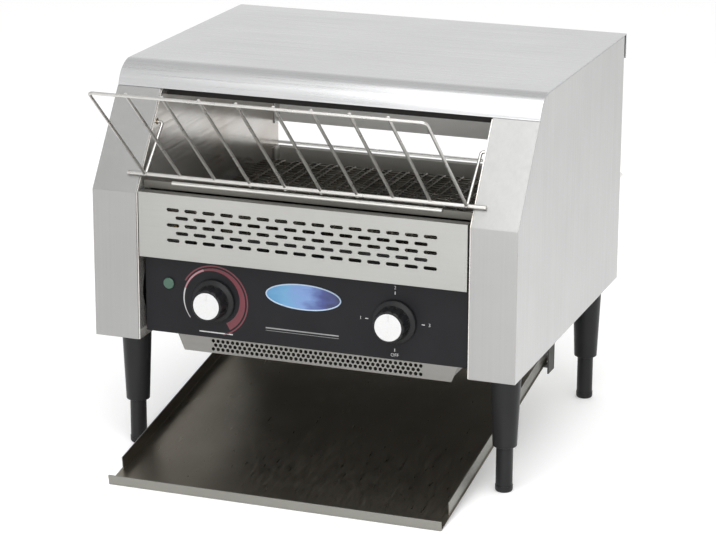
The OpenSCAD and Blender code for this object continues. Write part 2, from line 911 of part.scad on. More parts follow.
// Wire belt: cross wires joined by link strips that follow the loop
module conveyor_belt() {
    color(dark) {
        for (i = [0:belt_wires - 1]) {
            p = race((i + 0.5) * belt_loop / belt_wires, belt_run, belt_r);
            translate([-belt_half, front_shaft_y + p.x, shaft_z + p.y])
                rotate([0, 90, 0])
                    cylinder(r = belt_wire_r, h = 2 * belt_half, $fn = 16);
        }
        for (i = [0:belt_links - 1])
            translate([(i / (belt_links - 1) * 2 - 1) * (belt_half - link_w), 0, 0])
                across(-link_w / 2, link_w)
                    translate([front_shaft_y, shaft_z])
                        difference() {
                            race_outline(belt_run, belt_r + link_t / 2);
                            race_outline(belt_run, belt_r - link_t / 2);
                        }
    }
}

guide_r = 1.5;
guides = 4;
guide_in = 40;
guide_web = 2;
rail_rod_past = 3;
guide_z = shaft_z + belt_r - belt_wire_r - move_gap - guide_r;

// Wires under the belt's upper run, carried by two rods from wall to wall
module belt_rails() {
    color(steel) {
        for (y = rail_rod_ys)
            rod_x(-wall_out - rail_rod_past, y, rail_rod_z, rail_rod_r,
                  2 * (wall_out + rail_rod_past));
        for (i = [0:guides - 1])
            for (half = [-1, 1]) {
                x = ((i + 0.5) / guides * 2 - 1) * belt_half;
                wire([x, front_shaft_y + guide_in, guide_z],
                     [x, rear_shaft_y - guide_in, guide_z], guide_r);
                y = half < 0 ? rail_rod_ys[0] : rail_rod_ys[1];
                block([x - guide_web / 2, y - guide_web / 2, rail_rod_z],
                      [x + guide_web / 2, y + guide_web / 2, guide_z]);
            }
    }
}

shaft_past = 5;
chain_off = 11;
chain_end = 4;
shaft_half = wall_out + shaft_past;
chain_x = wall_out + chain_off;
bearing_in = 2;
bearing_l = 6.2;
bearing_rim = 3;
bearing_rim_t = 2;

module plain_shaft(y, right) {
    color(steel) rod_x(-shaft_half, y, shaft_z, shaft_r, shaft_half + right);
}

module drive_shaft() {
    plain_shaft(rear_shaft_y, chain_x + chain_end);
}

module idler_shaft() {
    plain_shaft(front_shaft_y, shaft_half);
}

module shaft_bearings() {
    color(ceramic)
        mirrored()
            for (y = [front_shaft_y, rear_shaft_y])
                difference() {
                    union() {
                        rod_x(wall_in - bearing_in, y, shaft_z, bush_r, bearing_l);
                        rod_x(wall_out + seat_gap, y, shaft_z, bush_r + bearing_rim, bearing_rim_t);
                    }
                    rod_x(wall_in - 2 * bearing_in, y, shaft_z, shaft_r + run_gap, 2 * bearing_l);
                }
}

// Toothed wheel: teeth are round-topped and stay under tip_r
module toothed_wheel(teeth, tip_r, depth, thick, bore_r) {
    difference() {
        cylinder(r = tip_r, h = thick);
        for (i = [0:teeth - 1])
            rotate([0, 0, (i + 0.5) * 360 / teeth])
                translate([tip_r, 0, -overlap])
                    cylinder(r = depth, h = thick + 2 * overlap, $fn = 16);
        translate([0, 0, -overlap]) cylinder(r = bore_r, h = thick + 2 * overlap);
    }
}

belt_teeth = 14;
belt_tip_r = belt_r - belt_wire_r - move_gap;
belt_wheels = 4;
wheel_w = 6;
tooth_gap_r = 2.6;
wheel_hub_l = 8;
wheel_hub_r = shaft_r + 5;

// Wheels between the belt's link strips, keyed to a shaft
module belt_sprockets(y) {
    color(dark)
        for (i = [0:belt_wheels - 1])
            translate([((i + 0.5) / belt_wheels * 2 - 1) * (belt_half - link_w) - wheel_w / 2,
                       y, shaft_z])
                rotate([0, 90, 0]) {
                    toothed_wheel(belt_teeth, belt_tip_r, tooth_gap_r, wheel_w, shaft_r);
                    translate([0, 0, wheel_w])
                        difference() {
                            cylinder(r = wheel_hub_r, h = wheel_hub_l);
                            translate([0, 0, -overlap])
                                cylinder(r = shaft_r, h = wheel_hub_l + 2 * overlap);
                        }
                }
}

module drive_sprockets() {
    belt_sprockets(rear_shaft_y);
}

module idler_sprockets() {
    belt_sprockets(front_shaft_y);
}

// ---- chain drive in the right housing -----------------------------------------------------

chain_roller_r = 1.65;
chain_pin_r = 1.1;
chain_plate_r = 2.6;
chain_plate_t = 0.8;
chain_inside = 2;
chain_plate_gap = 0.1;
chain_pin_half = 4;
motor_pitch_r = chain_pitch / 2 / sin(180 / motor_teeth);
shaft_pitch_r = chain_pitch / 2 / sin(180 / shaft_teeth);
motor_ahead = 75;
motor_up = 42;
motor_y = rear_shaft_y - motor_ahead;
motor_z = base_z + motor_up;
motor_shaft_r = 3.5;
chain_span = norm([rear_shaft_y - motor_y, shaft_z - motor_z]);
chain_tilt = atan2(shaft_z - motor_z, rear_shaft_y - motor_y);
chain_lean = asin((shaft_pitch_r - motor_pitch_r) / chain_span);
chain_straight = chain_span * cos(chain_lean);
motor_arc = (180 - 2 * chain_lean) * PI / 180 * motor_pitch_r;
shaft_arc = (180 + 2 * chain_lean) * PI / 180 * shaft_pitch_r;
chain_loop = 2 * chain_straight + motor_arc + shaft_arc;
chain_rollers = round(chain_loop / chain_pitch);

// Point on the chain at distance s from the start of its upper run, seen with the motor's
// wheel at the origin and the shaft's wheel along the first axis
function chain_point(s) =
    let (
        up = 90 + chain_lean,
        a = s - chain_straight,
        b = a - shaft_arc,
        c = b - chain_straight
    )
    s < chain_straight ? motor_pitch_r * [cos(up), sin(up)] + s * [cos(chain_lean), sin(chain_lean)]
    : a < shaft_arc ? [chain_span, 0]
        + shaft_pitch_r * [cos(up - a / shaft_pitch_r * 180 / PI), sin(up - a / shaft_pitch_r * 180 / PI)]
    : b < chain_straight ? [chain_span, 0] + shaft_pitch_r * [cos(up), -sin(up)]
        + b * [-cos(chain_lean), sin(chain_lean)]
    : motor_pitch_r * [cos(-up - c / motor_pitch_r * 180 / PI), sin(-up - c / motor_pitch_r * 180 / PI)];

module chain_outline(grow) {
    up = 90 + chain_lean;
    a = motor_pitch_r + grow;
    b = shaft_pitch_r + grow;
    circle(r = a, $fn = 64);
    translate([chain_span, 0]) circle(r = b, $fn = 64);
    polygon([
        a * [cos(up), sin(up)],
        [chain_span, 0] + b * [cos(up), sin(up)],
        [chain_span, 0] + b * [cos(up), -sin(up)],
        a * [cos(up), -sin(up)]
    ]);
}

module on_chain_plane(x) {
    translate([x, motor_y, motor_z])
        rotate([chain_tilt, 0, 0])
            rotate([90, 0, 90])
                children();
}

function chain_joint(i) = chain_point((i + 0.5) * chain_loop / chain_rollers);

// One pair of side plates between two neighbouring joints
module chain_link(a, b, inner_x) {
    reach = norm(b - a);
    for (x = [-inner_x - chain_plate_t, inner_x])
        on_chain_plane(chain_x + x)
            translate(a)
                rotate(atan2(b.y - a.y, b.x - a.x))
                    translate([reach / 2, 0])
                        linear_extrude(chain_plate_t)
                            slot(reach + 2 * chain_plate_r, 2 * chain_plate_r);
}

// Roller chain: narrow and wide links in turn, with a roller and a pin at each joint
module drive_chain() {
    outer_x = chain_inside + chain_plate_t + chain_plate_gap;
    color(dark)
        for (i = [0:chain_rollers - 1]) {
            here = chain_joint(i);
            next = chain_joint((i + 1) % chain_rollers);
            chain_link(here, next, i % 2 == 0 ? chain_inside : outer_x);
            on_chain_plane(chain_x - chain_inside - 0.2)
                translate(here)
                    cylinder(r = chain_roller_r, h = 2 * chain_inside + 0.4, $fn = 16);
            on_chain_plane(chain_x - chain_pin_half)
                translate(here) cylinder(r = chain_pin_r, h = 2 * chain_pin_half, $fn = 16);
        }
}

chain_wheel_w = 2.6;
chain_tooth_gap_r = 1.3;
chain_hub_l = 2.5;
chain_hub_t = 3;

module chain_wheel(teeth, pitch_r, y, z, bore_r) {
    translate([chain_x - chain_wheel_w / 2, y, z])
        rotate([0, 90, 0]) {
            toothed_wheel(teeth, pitch_r - chain_roller_r - move_gap, chain_tooth_gap_r,
                          chain_wheel_w, bore_r);
            translate([0, 0, chain_wheel_w - 0.1])
                difference() {
                    cylinder(r = bore_r + chain_hub_t, h = chain_hub_l);
                    translate([0, 0, -overlap])
                        cylinder(r = bore_r, h = chain_hub_l + 2 * overlap);
                }
        }
}

module shaft_sprocket() {
    color(dark) chain_wheel(shaft_teeth, shaft_pitch_r, rear_shaft_y, shaft_z, shaft_r);
}

bracket_off = 8;
bracket_x = chain_x + bracket_off;
motor_boss_r = 9;
motor_boss_out = 1;
motor_shaft_in = 10;

// The gear motor's output shaft with its sprocket
module motor_sprocket() {
    color(dark) {
        chain_wheel(motor_teeth, motor_pitch_r, motor_y, motor_z, motor_shaft_r - 0.2);
        rod_x(chain_x - chain_end, motor_y, motor_z, motor_shaft_r,
              bracket_off + motor_shaft_in + chain_end);
    }
}

lug_w = 10;
lug_t = 2;
lug_out = 7;

module gear_motor() {
    x = bracket_x + plate_t;
    color(steel)
        difference() {
            union() {
                rod_x(x, motor_y, motor_z, motor_r, motor_depth);
                rod_x(x - plate_t - motor_boss_out, motor_y, motor_z, motor_boss_r,
                      plate_t + motor_boss_out + overlap);
                for (a = [45, 225])
                    translate([x, motor_y, motor_z])
                        rotate([a, 0, 0])
                            block([0, -lug_w / 2, 0], [lug_t, lug_w / 2, motor_r + lug_out]);
            }
            rod_x(x - 6, motor_y, motor_z, motor_shaft_r + run_gap, 16);
        }
}

bracket_half = motor_r + 9;
bracket_side = 16;
bracket_foot = 10;

// Plate that holds the motor off the inner wall, with a foot above and below
module motor_bracket() {
    color(steel)
        difference() {
            union() {
                block([bracket_x, motor_y - bracket_side, motor_z - bracket_half],
                      [bracket_x + plate_t - seat_gap, motor_y + bracket_side, motor_z + bracket_half]);
                translate([0, 0, motor_z])
                    for (side = [0, 1])
                        mirror([0, 0, side]) {
                            block([wall_out + seat_gap, motor_y - bracket_side, bracket_half - plate_t],
                                  [bracket_x + plate_t / 2, motor_y + bracket_side, bracket_half]);
                            block([wall_out + seat_gap, motor_y - bracket_side, bracket_half - bracket_foot],
                                  [wall_out + seat_gap + plate_t, motor_y + bracket_side, bracket_half]);
                        }
            }
            rod_x(bracket_x - overlap, motor_y, motor_z, motor_boss_r + seat_gap, 6);
            // The chain's upper run passes behind the bracket's upper foot
            on_chain_plane(chain_x - chain_pin_half - 1)
                linear_extrude(2 * chain_pin_half + 2) chain_outline(chain_plate_r + 1.5);
        }
}

// ---- heating ----------------------------------------------------------------------------

tube_past = 14;
tube_half = wall_out + tube_past;
holder_rim = 2;
holder_l = 8;

module tube_row(z) {
    color(dark)
        for (y = tube_ys)
            rod_x(-tube_half, y, z, tube_r, 2 * tube_half);
}

module upper_heaters() {
    tube_row(upper_tube_z);
}

module lower_heaters() {
    tube_row(lower_tube_z);
}

// Ceramic sleeves that carry the tubes in the inner walls
module heater_holders() {
    color(ceramic)
        mirrored()
            for (y = tube_ys)
                for (z = [upper_tube_z, lower_tube_z])
                    difference() {
                        union() {
                            rod_x(wall_in - 1, y, z, holder_r, holder_l);
                            rod_x(wall_out + seat_gap, y, z, holder_r + holder_rim, holder_rim);
                        }
                        rod_x(wall_in - 3, y, z, tube_r + run_gap, holder_l + 6);
                    }
}

// ---- cooling fan in the left housing --------------------------------------------------------

fan_x = -wall_out - seat_gap;
hub_r = 12;
hub_plate_t = 4;
arm_w = 4;
arm_t = 3;
fan_pin_r = 2;
fan_pin_depth = 2.5;
fan_hole_r = 2.2;
fan_hole_in = 4.5;
fan_hole_off = fan_w / 2 - fan_hole_in;
hub_gap = 1;
hub_l = fan_depth - 8;
blade_r = fan_open_r - fan_rim;
blade_w = 16;
blade_t = 1.5;
blade_lean = 40;

module fan_frame() {
    color(black)
        difference() {
            union() {
                difference() {
                    block([fan_x - fan_depth, fan_y - fan_w / 2, fan_z - fan_w / 2],
                          [fan_x, fan_y + fan_w / 2, fan_z + fan_w / 2]);
                    rod_x(fan_x - fan_depth - overlap, fan_y, fan_z, fan_open_r,
                          fan_depth + 2 * overlap);
                }
                rod_x(fan_x - fan_depth, fan_y, fan_z, hub_r, hub_plate_t);
                for (a = [0, 120, 240])
                    translate([fan_x - fan_depth, fan_y, fan_z])
                        rotate([a, 0, 0])
                            block([0, -arm_w / 2, 0], [arm_t, arm_w / 2, fan_open_r + overlap]);
            }
            for (y = [-1, 1])
                for (z = [-1, 1])
                    rod_x(fan_x - fan_depth - overlap, fan_y + y * fan_hole_off,
                          fan_z + z * fan_hole_off, fan_hole_r, fan_depth + 2 * overlap);
            rod_x(fan_x - fan_depth + hub_plate_t - fan_pin_depth, fan_y, fan_z,
                  fan_pin_r + run_gap, fan_pin_depth + overlap);
        }
}

module fan_impeller() {
    x = fan_x - fan_depth + hub_plate_t + hub_gap;
    color(black) {
        rod_x(x, fan_y, fan_z, hub_r, hub_l);
        rod_x(x - hub_gap - fan_pin_depth + 0.5, fan_y, fan_z, fan_pin_r,
              hub_gap + fan_pin_depth + 0.5);
        for (i = [0:fan_blades - 1])
            translate([x + hub_l / 2, fan_y, fan_z])
                rotate([i * 360 / fan_blades, 0, 0])
                    rotate([0, 0, blade_lean])
                        block([-blade_t / 2, -blade_w / 2, hub_r - 2],
                              [blade_t / 2, blade_w / 2, blade_r]);
    }
}

// ---- electrics ----------------------------------------------------------------------------

terminals = 4;
terminal_step = 12;
terminal_r = 3;
terminal_h = 22;
terminal_w = 18;
terminal_up = 20;
terminal_ahead = 45;

module terminal_block() {
    y = rear_leg_y - terminal_ahead;
    z = base_z + terminal_up;
    color(ceramic)
        mirror([1, 0, 0])
            difference() {
                block([wall_out + seat_gap, y, z],
                      [wall_out + terminal_w, y + terminals * terminal_step, z + terminal_h]);
                for (i = [0:terminals - 1])
                    rod_x(wall_out + terminal_w / 2, y + (i + 0.5) * terminal_step,
                          z + terminal_h / 2, terminal_r, terminal_w);
            }
}

gland_bore_r = 4.5;
gland_rim = 4;
gland_rim_t = 5;
gland_cap_l = 7;
gland_in = 10;

module cable_gland() {
    color(black)
        difference() {
            union() {
                rod_y(-gland_x, rear_y - sheet - gland_in, gland_z, gland_r,
                      gland_in + sheet + overlap);
                rod_y(-gland_x, rear_y, gland_z, gland_r + gland_rim, gland_rim_t);
                rod_y(-gland_x, rear_y + gland_rim_t, gland_z, gland_r + gland_rim / 3, gland_cap_l);
                rod_y(-gland_x, rear_y - sheet - gland_rim_t, gland_z, gland_r + gland_rim - 1,
                      gland_rim_t);
            }
            rod_y(-gland_x, rear_y - sheet - gland_in - overlap, gland_z, gland_bore_r,
                  gland_in + sheet + gland_rim_t + gland_cap_l + 2 * overlap);
        }
}

control_back_y = panel_y + sheet;
bushing_out = 5;
nut_r = 8.5;
nut_t = 2.5;
spindle_in = 8;
regulator_w = 30;
regulator_depth = 18;
switch_w = 38;
switch_h = 36;
switch_depth = 34;

// Rotary control behind the panel: a body and a threaded bushing with its nut
module rotary_control(x, w, h, depth) {
    color(dark)
        difference() {
            union() {
                block([x - w / 2, control_back_y + seat_gap, knob_z - h / 2],
                      [x + w / 2, control_back_y + seat_gap + depth, knob_z + h / 2]);
                rod_y(x, panel_y - bushing_out, knob_z, bushing_r, bushing_out + sheet + 1);
                translate([x, panel_y - seat_gap, knob_z])
                    rotate([90, 0, 0])
                        cylinder(r = nut_r, h = nut_t, $fn = 6);
            }
            rod_y(x, panel_y - bushing_out - overlap, knob_z, spindle_r + run_gap,
                  bushing_out + sheet + spindle_in + 4);
        }
}

module speed_regulator() {
    rotary_control(-knob_x, regulator_w, regulator_w, regulator_depth);
}

module selector_switch() {
    rotary_control(knob_x, switch_w, switch_h, switch_depth);
}

lens_out = 2;
lens_stem = 3;
lamp_l = 16;

module indicator_lens() {
    color([0.10, 0.45, 0.25]) {
        rod_y(lens_x, panel_y - lens_out, lens_z, lens_r + 0.5, lens_out);
        rod_y(lens_x, panel_y - overlap, lens_z, lens_r - 1, overlap + sheet + lens_stem);
    }
}

module indicator_lamp() {
    color(ceramic)
        rod_y(lens_x, panel_y + sheet + lens_stem + seat_gap, lens_z, lens_r + 1, lamp_l);
}

badge_t = 1;

module badge_plate() {
    color([0.16, 0.42, 0.75])
        facing(panel_y - badge_t, badge_t)
            translate([0, badge_z]) scale([badge_w / badge_h, 1]) circle(d = badge_h);
}

// ---- knobs ----------------------------------------------------------------------------------

knob_foot = 1;
skirt_t = 3;
grip_r = 15.5;
cap_t = 1;
flutes = 12;
flute_r = 2.2;
pointer_w = 1.2;
pointer_l = 5.5;

// Knob turned round its own axis; its foot is at zero and its face at knob_out
module knob_shape() {
    difference() {
        rotate_extrude($fn = 72)
            polygon([
                [0, knob_foot],
                [knob_r, knob_foot],
                [knob_r, knob_foot + skirt_t - 1],
                [knob_r - 1, knob_foot + skirt_t],
                [grip_r + 1, knob_foot + skirt_t + 1],
                [grip_r, knob_out - 1.5],
                [grip_r - 1, knob_out - 0.3],
                [0, knob_out - 0.3]
            ]);
        for (i = [0:flutes - 1])
            rotate([0, 0, (i + 0.5) * 360 / flutes])
                translate([grip_r + 0.7 * flute_r, 0, knob_foot + skirt_t + 1.5])
                    cylinder(r = flute_r, h = knob_out, $fn = 20);
        translate([0, 0, -overlap]) cylinder(r = spindle_r, h = knob_out - 5);
        translate([0, 0, -overlap]) cylinder(r = bushing_r + 4.5, h = overlap + bushing_out + 1);
        translate([0, 0, knob_out - cap_t]) cylinder(r = cap_r + seat_gap, h = 2 * overlap);
    }
}

module on_panel(x) {
    translate([x, panel_y, knob_z])
        rotate([90, 0, 0])
            children();
}

module knob(x) {
    color(black) on_panel(x) knob_shape();
}

// Bright disc let into the knob's face, with a pointer groove
module knob_cap(x) {
    color(bright)
        on_panel(x)
            difference() {
                translate([0, 0, knob_out - cap_t]) cylinder(r = cap_r, h = cap_t, $fn = 72);
                block([-pointer_w / 2, cap_r - 1.5 - pointer_l, knob_out - cap_t / 2],
                      [pointer_w / 2, cap_r - 1.5, knob_out + overlap]);
            }
}

module spindle(x) {
    color(steel)
        on_panel(x)
            translate([0, 0, -sheet - spindle_in])
                cylinder(r = spindle_r, h = knob_out - 6 + sheet + spindle_in);
}

module speed_knob() {
    knob(-knob_x);
}

module speed_knob_cap() {
    knob_cap(-knob_x);
}

module speed_spindle() {
    spindle(-knob_x);
}

module selector_knob() {
    knob(knob_x);
}

module selector_knob_cap() {
    knob_cap(knob_x);
}

module selector_spindle() {
    spindle(knob_x);
}

// ---- legs and feet ----------------------------------------------------------------------------

collar_h = 3;
collar_out = 1;
bore_below = 16;
stem_in = 42;
stud_l = 12;
pad_out = 0.4;
pad_in = 0.6;
pad_h = 6;
bore_top = leg_h - bore_below;
stem_top = foot_h + stem_in;

module at_leg(sx, y) {
    translate([sx * leg_x, y, 0]) children();
}

module leg() {
    color(black)
        difference() {
            union() {
                translate([0, 0, foot_h])
                    cylinder(r1 = leg_low_r, r2 = leg_top_r, h = leg_h - foot_h - collar_h);
                translate([0, 0, leg_h - collar_h - 0.1])
                    cylinder(r = leg_top_r + collar_out, h = collar_h + 0.1);
                // Threaded stud that the leg is bolted up with
                translate([0, 0, leg_h - collar_h]) cylinder(r = stud_r, h = collar_h + stud_l);
            }
            translate([0, 0, foot_h - overlap])
                cylinder(r = foot_r + run_gap, h = bore_top - foot_h + overlap);
        }
}

module foot() {
    color(black) {
        cylinder(r1 = foot_r - pad_in, r2 = foot_r + pad_out, h = 1.5);
        translate([0, 0, 1.5]) cylinder(r = foot_r + pad_out, h = pad_h - 1.5);
        translate([0, 0, pad_h - overlap]) cylinder(r = foot_r, h = stem_top - pad_h + overlap);
    }
}

module front_left_leg() {
    at_leg(-1, front_leg_y) leg();
}

module front_right_leg() {
    at_leg(1, front_leg_y) leg();
}

module rear_left_leg() {
    at_leg(-1, rear_leg_y) leg();
}

module rear_right_leg() {
    at_leg(1, rear_leg_y) leg();
}

module front_left_foot() {
    at_leg(-1, front_leg_y) foot();
}

module front_right_foot() {
    at_leg(1, front_leg_y) foot();
}

module rear_left_foot() {
    at_leg(-1, rear_leg_y) foot();
}

module rear_right_foot() {
    at_leg(1, rear_leg_y) foot();
}

leg_nut_r = 7;
leg_nut_h = 6;
screw_r = 3.5;
screw_t = 2;
screw_in = 12;
screw_ups = [20, 190];

// Nuts on the leg studs, and the screws that hold the back panel
module screws() {
    color(bright) {
        for (x = [-leg_x, leg_x])
            for (y = [front_leg_y, rear_leg_y])
                translate([x, y, base_z + plate_t + seat_gap])
                    difference() {
                        cylinder(r = leg_nut_r, h = leg_nut_h, $fn = 6);
                        translate([0, 0, -overlap])
                            cylinder(r = stud_r + 0.1, h = leg_nut_h + 2 * overlap);
                    }
        for (x = [-1, 1])
            for (up = screw_ups)
                rod_y(x * (wall_in - screw_in), rear_y + 0.1, base_z + up, screw_r, screw_t);
    }
}

left_side_cover();
right_side_cover();
base_plates();
left_inner_wall();
right_inner_wall();
top_cover();
back_panel();
lower_back_panel();
upper_reflector();
vent_panel();
control_panel();
control_box();
feed_lip();
pan_rails();
toast_chute();
tray_hangers();
rack_bushes();
rear_guard();
conveyor_belt();
belt_rails();
shaft_bearings();
gear_motor();
motor_bracket();
drive_chain();
upper_heaters();
lower_heaters();
heater_holders();
fan_frame();
terminal_block();
cable_gland();
speed_regulator();
selector_switch();
indicator_lens();
indicator_lamp();
badge_plate();
front_left_leg();
front_right_leg();
rear_left_leg();
rear_right_leg();
screws();
feed_rack();
toast_tray();
crumb_pan();
drive_shaft();
drive_sprockets();
shaft_sprocket();
idler_shaft();
idler_sprockets();
motor_sprocket();
fan_impeller();
speed_knob();
speed_knob_cap();
speed_spindle();
selector_knob();
selector_knob_cap();
selector_spindle();
front_left_foot();
front_right_foot();
rear_left_foot();
rear_right_foot();
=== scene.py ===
import json
import math

import bmesh
import bpy
from mathutils import Matrix, Vector


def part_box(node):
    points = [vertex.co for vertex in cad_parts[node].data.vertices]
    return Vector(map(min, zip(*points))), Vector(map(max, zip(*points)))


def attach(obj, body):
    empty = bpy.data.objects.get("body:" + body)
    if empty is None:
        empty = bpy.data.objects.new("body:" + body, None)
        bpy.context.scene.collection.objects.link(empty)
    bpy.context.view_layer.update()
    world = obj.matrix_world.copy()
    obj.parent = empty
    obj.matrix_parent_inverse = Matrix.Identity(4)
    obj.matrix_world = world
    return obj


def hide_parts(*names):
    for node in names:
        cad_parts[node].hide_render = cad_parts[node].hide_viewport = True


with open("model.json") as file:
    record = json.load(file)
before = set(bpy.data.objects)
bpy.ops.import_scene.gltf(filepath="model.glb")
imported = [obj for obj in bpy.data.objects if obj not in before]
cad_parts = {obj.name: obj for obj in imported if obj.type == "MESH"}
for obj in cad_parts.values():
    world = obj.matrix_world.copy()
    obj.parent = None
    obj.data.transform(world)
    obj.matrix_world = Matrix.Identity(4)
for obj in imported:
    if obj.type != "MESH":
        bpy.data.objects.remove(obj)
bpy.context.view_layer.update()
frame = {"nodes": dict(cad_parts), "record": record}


# ---- side housings ----------------------------------------------------------------------
# Two folded covers of satin stainless sheet, brushed from top to bottom, form the stiles,
# the sides and the leaning front edges. They are riveted to the inner walls behind them.
# Each floor plate under them is mill-finish sheet with a row of air slots.

def new_material(name, metallic, roughness, specular=0.5):
    """A node material and its main shader, with the shader's even values set on it."""
    material = bpy.data.materials.new(name)
    material.use_nodes = True
    shader = material.node_tree.nodes["Principled BSDF"]
    shader.inputs["Metallic"].default_value = metallic
    shader.inputs["Roughness"].default_value = roughness
    shader.inputs["Specular IOR Level"].default_value = specular
    return material, shader


def add(material, kind, **settings):
    """A node in the material; each setting is the value of one of its sockets."""
    node = material.node_tree.nodes.new("ShaderNode" + kind)
    for key, value in settings.items():
        node.inputs[key.replace("_", " ")].default_value = value
    return node


def wire_up(material, source, target):
    material.node_tree.links.new(source, target)


def pattern(material, scale, detail=3.0, rough=0.55):
    """Noise in the object's own coordinates, stretched along each axis by scale."""
    place = add(material, "TexCoord")
    stretch = add(material, "Mapping", Scale=scale)
    noise = add(material, "TexNoise", Scale=1.0, Detail=detail, Roughness=rough)
    wire_up(material, place.outputs["Object"], stretch.inputs["Vector"])
    wire_up(material, stretch.outputs["Vector"], noise.inputs["Vector"])
    return noise.outputs["Fac"]


def along_axis(material, axis, low, high):
    """The object's own coordinate on one axis, from 0 at low to 1 at high."""
    place = add(material, "TexCoord")
    apart = add(material, "SeparateXYZ")
    wire_up(material, place.outputs["Object"], apart.inputs["Vector"])
    return spread(material, apart.outputs[axis], 0, 1, low, high)


def spread(material, value, low, high, from_low=0.3, from_high=0.7):
    """The pattern's value moved into a new range."""
    node = add(material, "MapRange", From_Min=from_low, From_Max=from_high,
               To_Min=low, To_Max=high)
    wire_up(material, value, node.inputs["Value"])
    return node.outputs["Result"]


def blend_colours(material, value, *colours):
    """A colour that goes from the first to the last as the value goes from 0 to 1."""
    ramp = add(material, "ValToRGB")
    stops = ramp.color_ramp.elements
    for stop, colour in zip((stops[0], stops[-1]), (colours[0], colours[-1])):
        stop.color = (*colour, 1)
    for step, colour in enumerate(colours[1:-1], start=1):
        stops.new(step / (len(colours) - 1)).color = (*colour, 1)
    wire_up(material, value, ramp.inputs["Fac"])
    return ramp.outputs["Color"]


def shaded(colour, amount):
    return tuple(min(1.0, channel * amount) for channel in colour)


def relief(material, shader, height, depth, edge=0.0):
    """Surface relief of the given depth in metres, with edges eased by the radius edge."""
    bump = add(material, "Bump", Distance=depth)
    wire_up(material, height, bump.inputs["Height"])
    if edge:
        easing = add(material, "Bevel", Radius=edge)
        easing.samples = 3
        wire_up(material, easing.outputs["Normal"], bump.inputs["Normal"])
    wire_up(material, bump.outputs["Normal"], shader.inputs["Normal"])


def brushed_steel(name, colour, roughness, grain, cloud=0.05, depth=0.00003, edge=0.0,
                  metallic=1.0):
    """Stainless sheet with a grain that runs along the axis with the small scale."""
    material, shader = new_material(name, metallic, roughness)
    fine = pattern(material, grain, detail=4.0, rough=0.6)
    broad = pattern(material, (7.0, 7.0, 7.0))
    tone = blend_colours(material, spread(material, broad, 0, 1),
                         shaded(colour, 1 - cloud), shaded(colour, 1 + cloud))
    wire_up(material, tone, shader.inputs["Base Color"])
    wire_up(material, spread(material, fine, roughness - 0.05, roughness + 0.07),
            shader.inputs["Roughness"])
    relief(material, shader, fine, depth, edge)
    return material


def finish_nodes(material, *nodes):
    """Gives CAD nodes their finish and leaves their meshes alone."""
    for node in nodes:
        slots = frame["nodes"][node].data.materials
        slots.clear()
        slots.append(material)


def node_body(node):
    for body, nodes in frame["record"]["behaviour"]["bodies"].items():
        if node in nodes:
            return body


def make_piece(name, shape, materials, node, replaced=True, flat_angle=None):
    """Turns a bmesh into a piece that rides with a CAD node, and takes its place if asked."""
    mesh = bpy.data.meshes.new(name)
    shape.to_mesh(mesh)
    shape.free()
    piece = bpy.data.objects.new(name, mesh)
    bpy.context.scene.collection.objects.link(piece)
    for material in materials:
        mesh.materials.append(material)
    mesh.shade_smooth()
    if flat_angle:
        mesh.set_sharp_from_angle(angle=math.radians(flat_angle))
    normals = piece.modifiers.new("even_normals", "WEIGHTED_NORMAL")
    normals.keep_sharp = True
    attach(piece, node_body(node))
    if replaced:
        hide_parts(node)


def merged_copy(node):
    """The node's solids as one clean bmesh, with flat faces whole again."""
    shape = bmesh.new()
    shape.from_mesh(frame["nodes"][node].data)
    bmesh.ops.remove_doubles(shape, verts=shape.verts, dist=0.00001)
    bmesh.ops.dissolve_limit(shape, angle_limit=math.radians(0.5), verts=shape.verts,
                             edges=shape.edges)
    return shape


def round_corners(shape, radius, sharp=25, segments=2):
    """Rounds every edge that is sharper than the angle."""
    corners = [edge for edge in shape.edges
               if edge.is_manifold and edge.calc_face_angle() > math.radians(sharp)]
    bmesh.ops.bevel(shape, geom=corners, offset=radius, offset_type="OFFSET",
                    segments=segments, profile=0.5, affect="EDGES", clamp_overlap=False,
                    material=-1)


def eased_piece(node, radius, material, segments=2, sharp=25):
    """The CAD node with its corners rounded, shown in its place."""
    shape = merged_copy(node)
    round_corners(shape, radius, sharp, segments)
    make_piece(node + "_eased", shape, [material], node)


grain_up = (420.0, 420.0, 5.0)
grain_across = (5.0, 420.0, 420.0)
grain_deep = (420.0, 5.0, 420.0)
sheet_corner = 0.0005
thin_corner = 0.0003

# Painted shade and light: front faces get a darker copy of the steel than the side faces.
cover_front_painted_shade = brushed_steel("cover_front_painted_shade", (0.325, 0.325, 0.32), 0.4, grain_up)
cover_side_painted_light = brushed_steel("cover_side_painted_light", (0.5, 0.5, 0.495), 0.36, grain_up)
for cover in ("left_side_cover", "right_side_cover"):
    folded = merged_copy(cover)
    for face in folded.faces:
        face.material_index = 1 if abs(face.normal.x) > 0.9 else 0
    round_corners(folded, sheet_corner)
    make_piece(cover + "_eased", folded, [cover_front_painted_shade, cover_side_painted_light], cover)
base_steel = brushed_steel("base_steel", (0.42, 0.42, 0.41), 0.42, grain_deep, depth=0.00002,
                           edge=0.0004)
finish_nodes(base_steel, "base_plates", "control_box")


# ---- inner walls ------------------------------------------------------------------------
# Polished stainless walls on each side of the toasting space. They are the heat shield
# between it and the side housings. Their tone wanders at random between grey and a warm
# brown, and the brown is painted reflection of the belt.

wall_steel, wall_shader = new_material("wall_steel", 0.82, 0.16)
wall_fine = pattern(wall_steel, (300.0, 6.0, 300.0), detail=4.0)
wall_broad = pattern(wall_steel, (11.0, 11.0, 14.0))
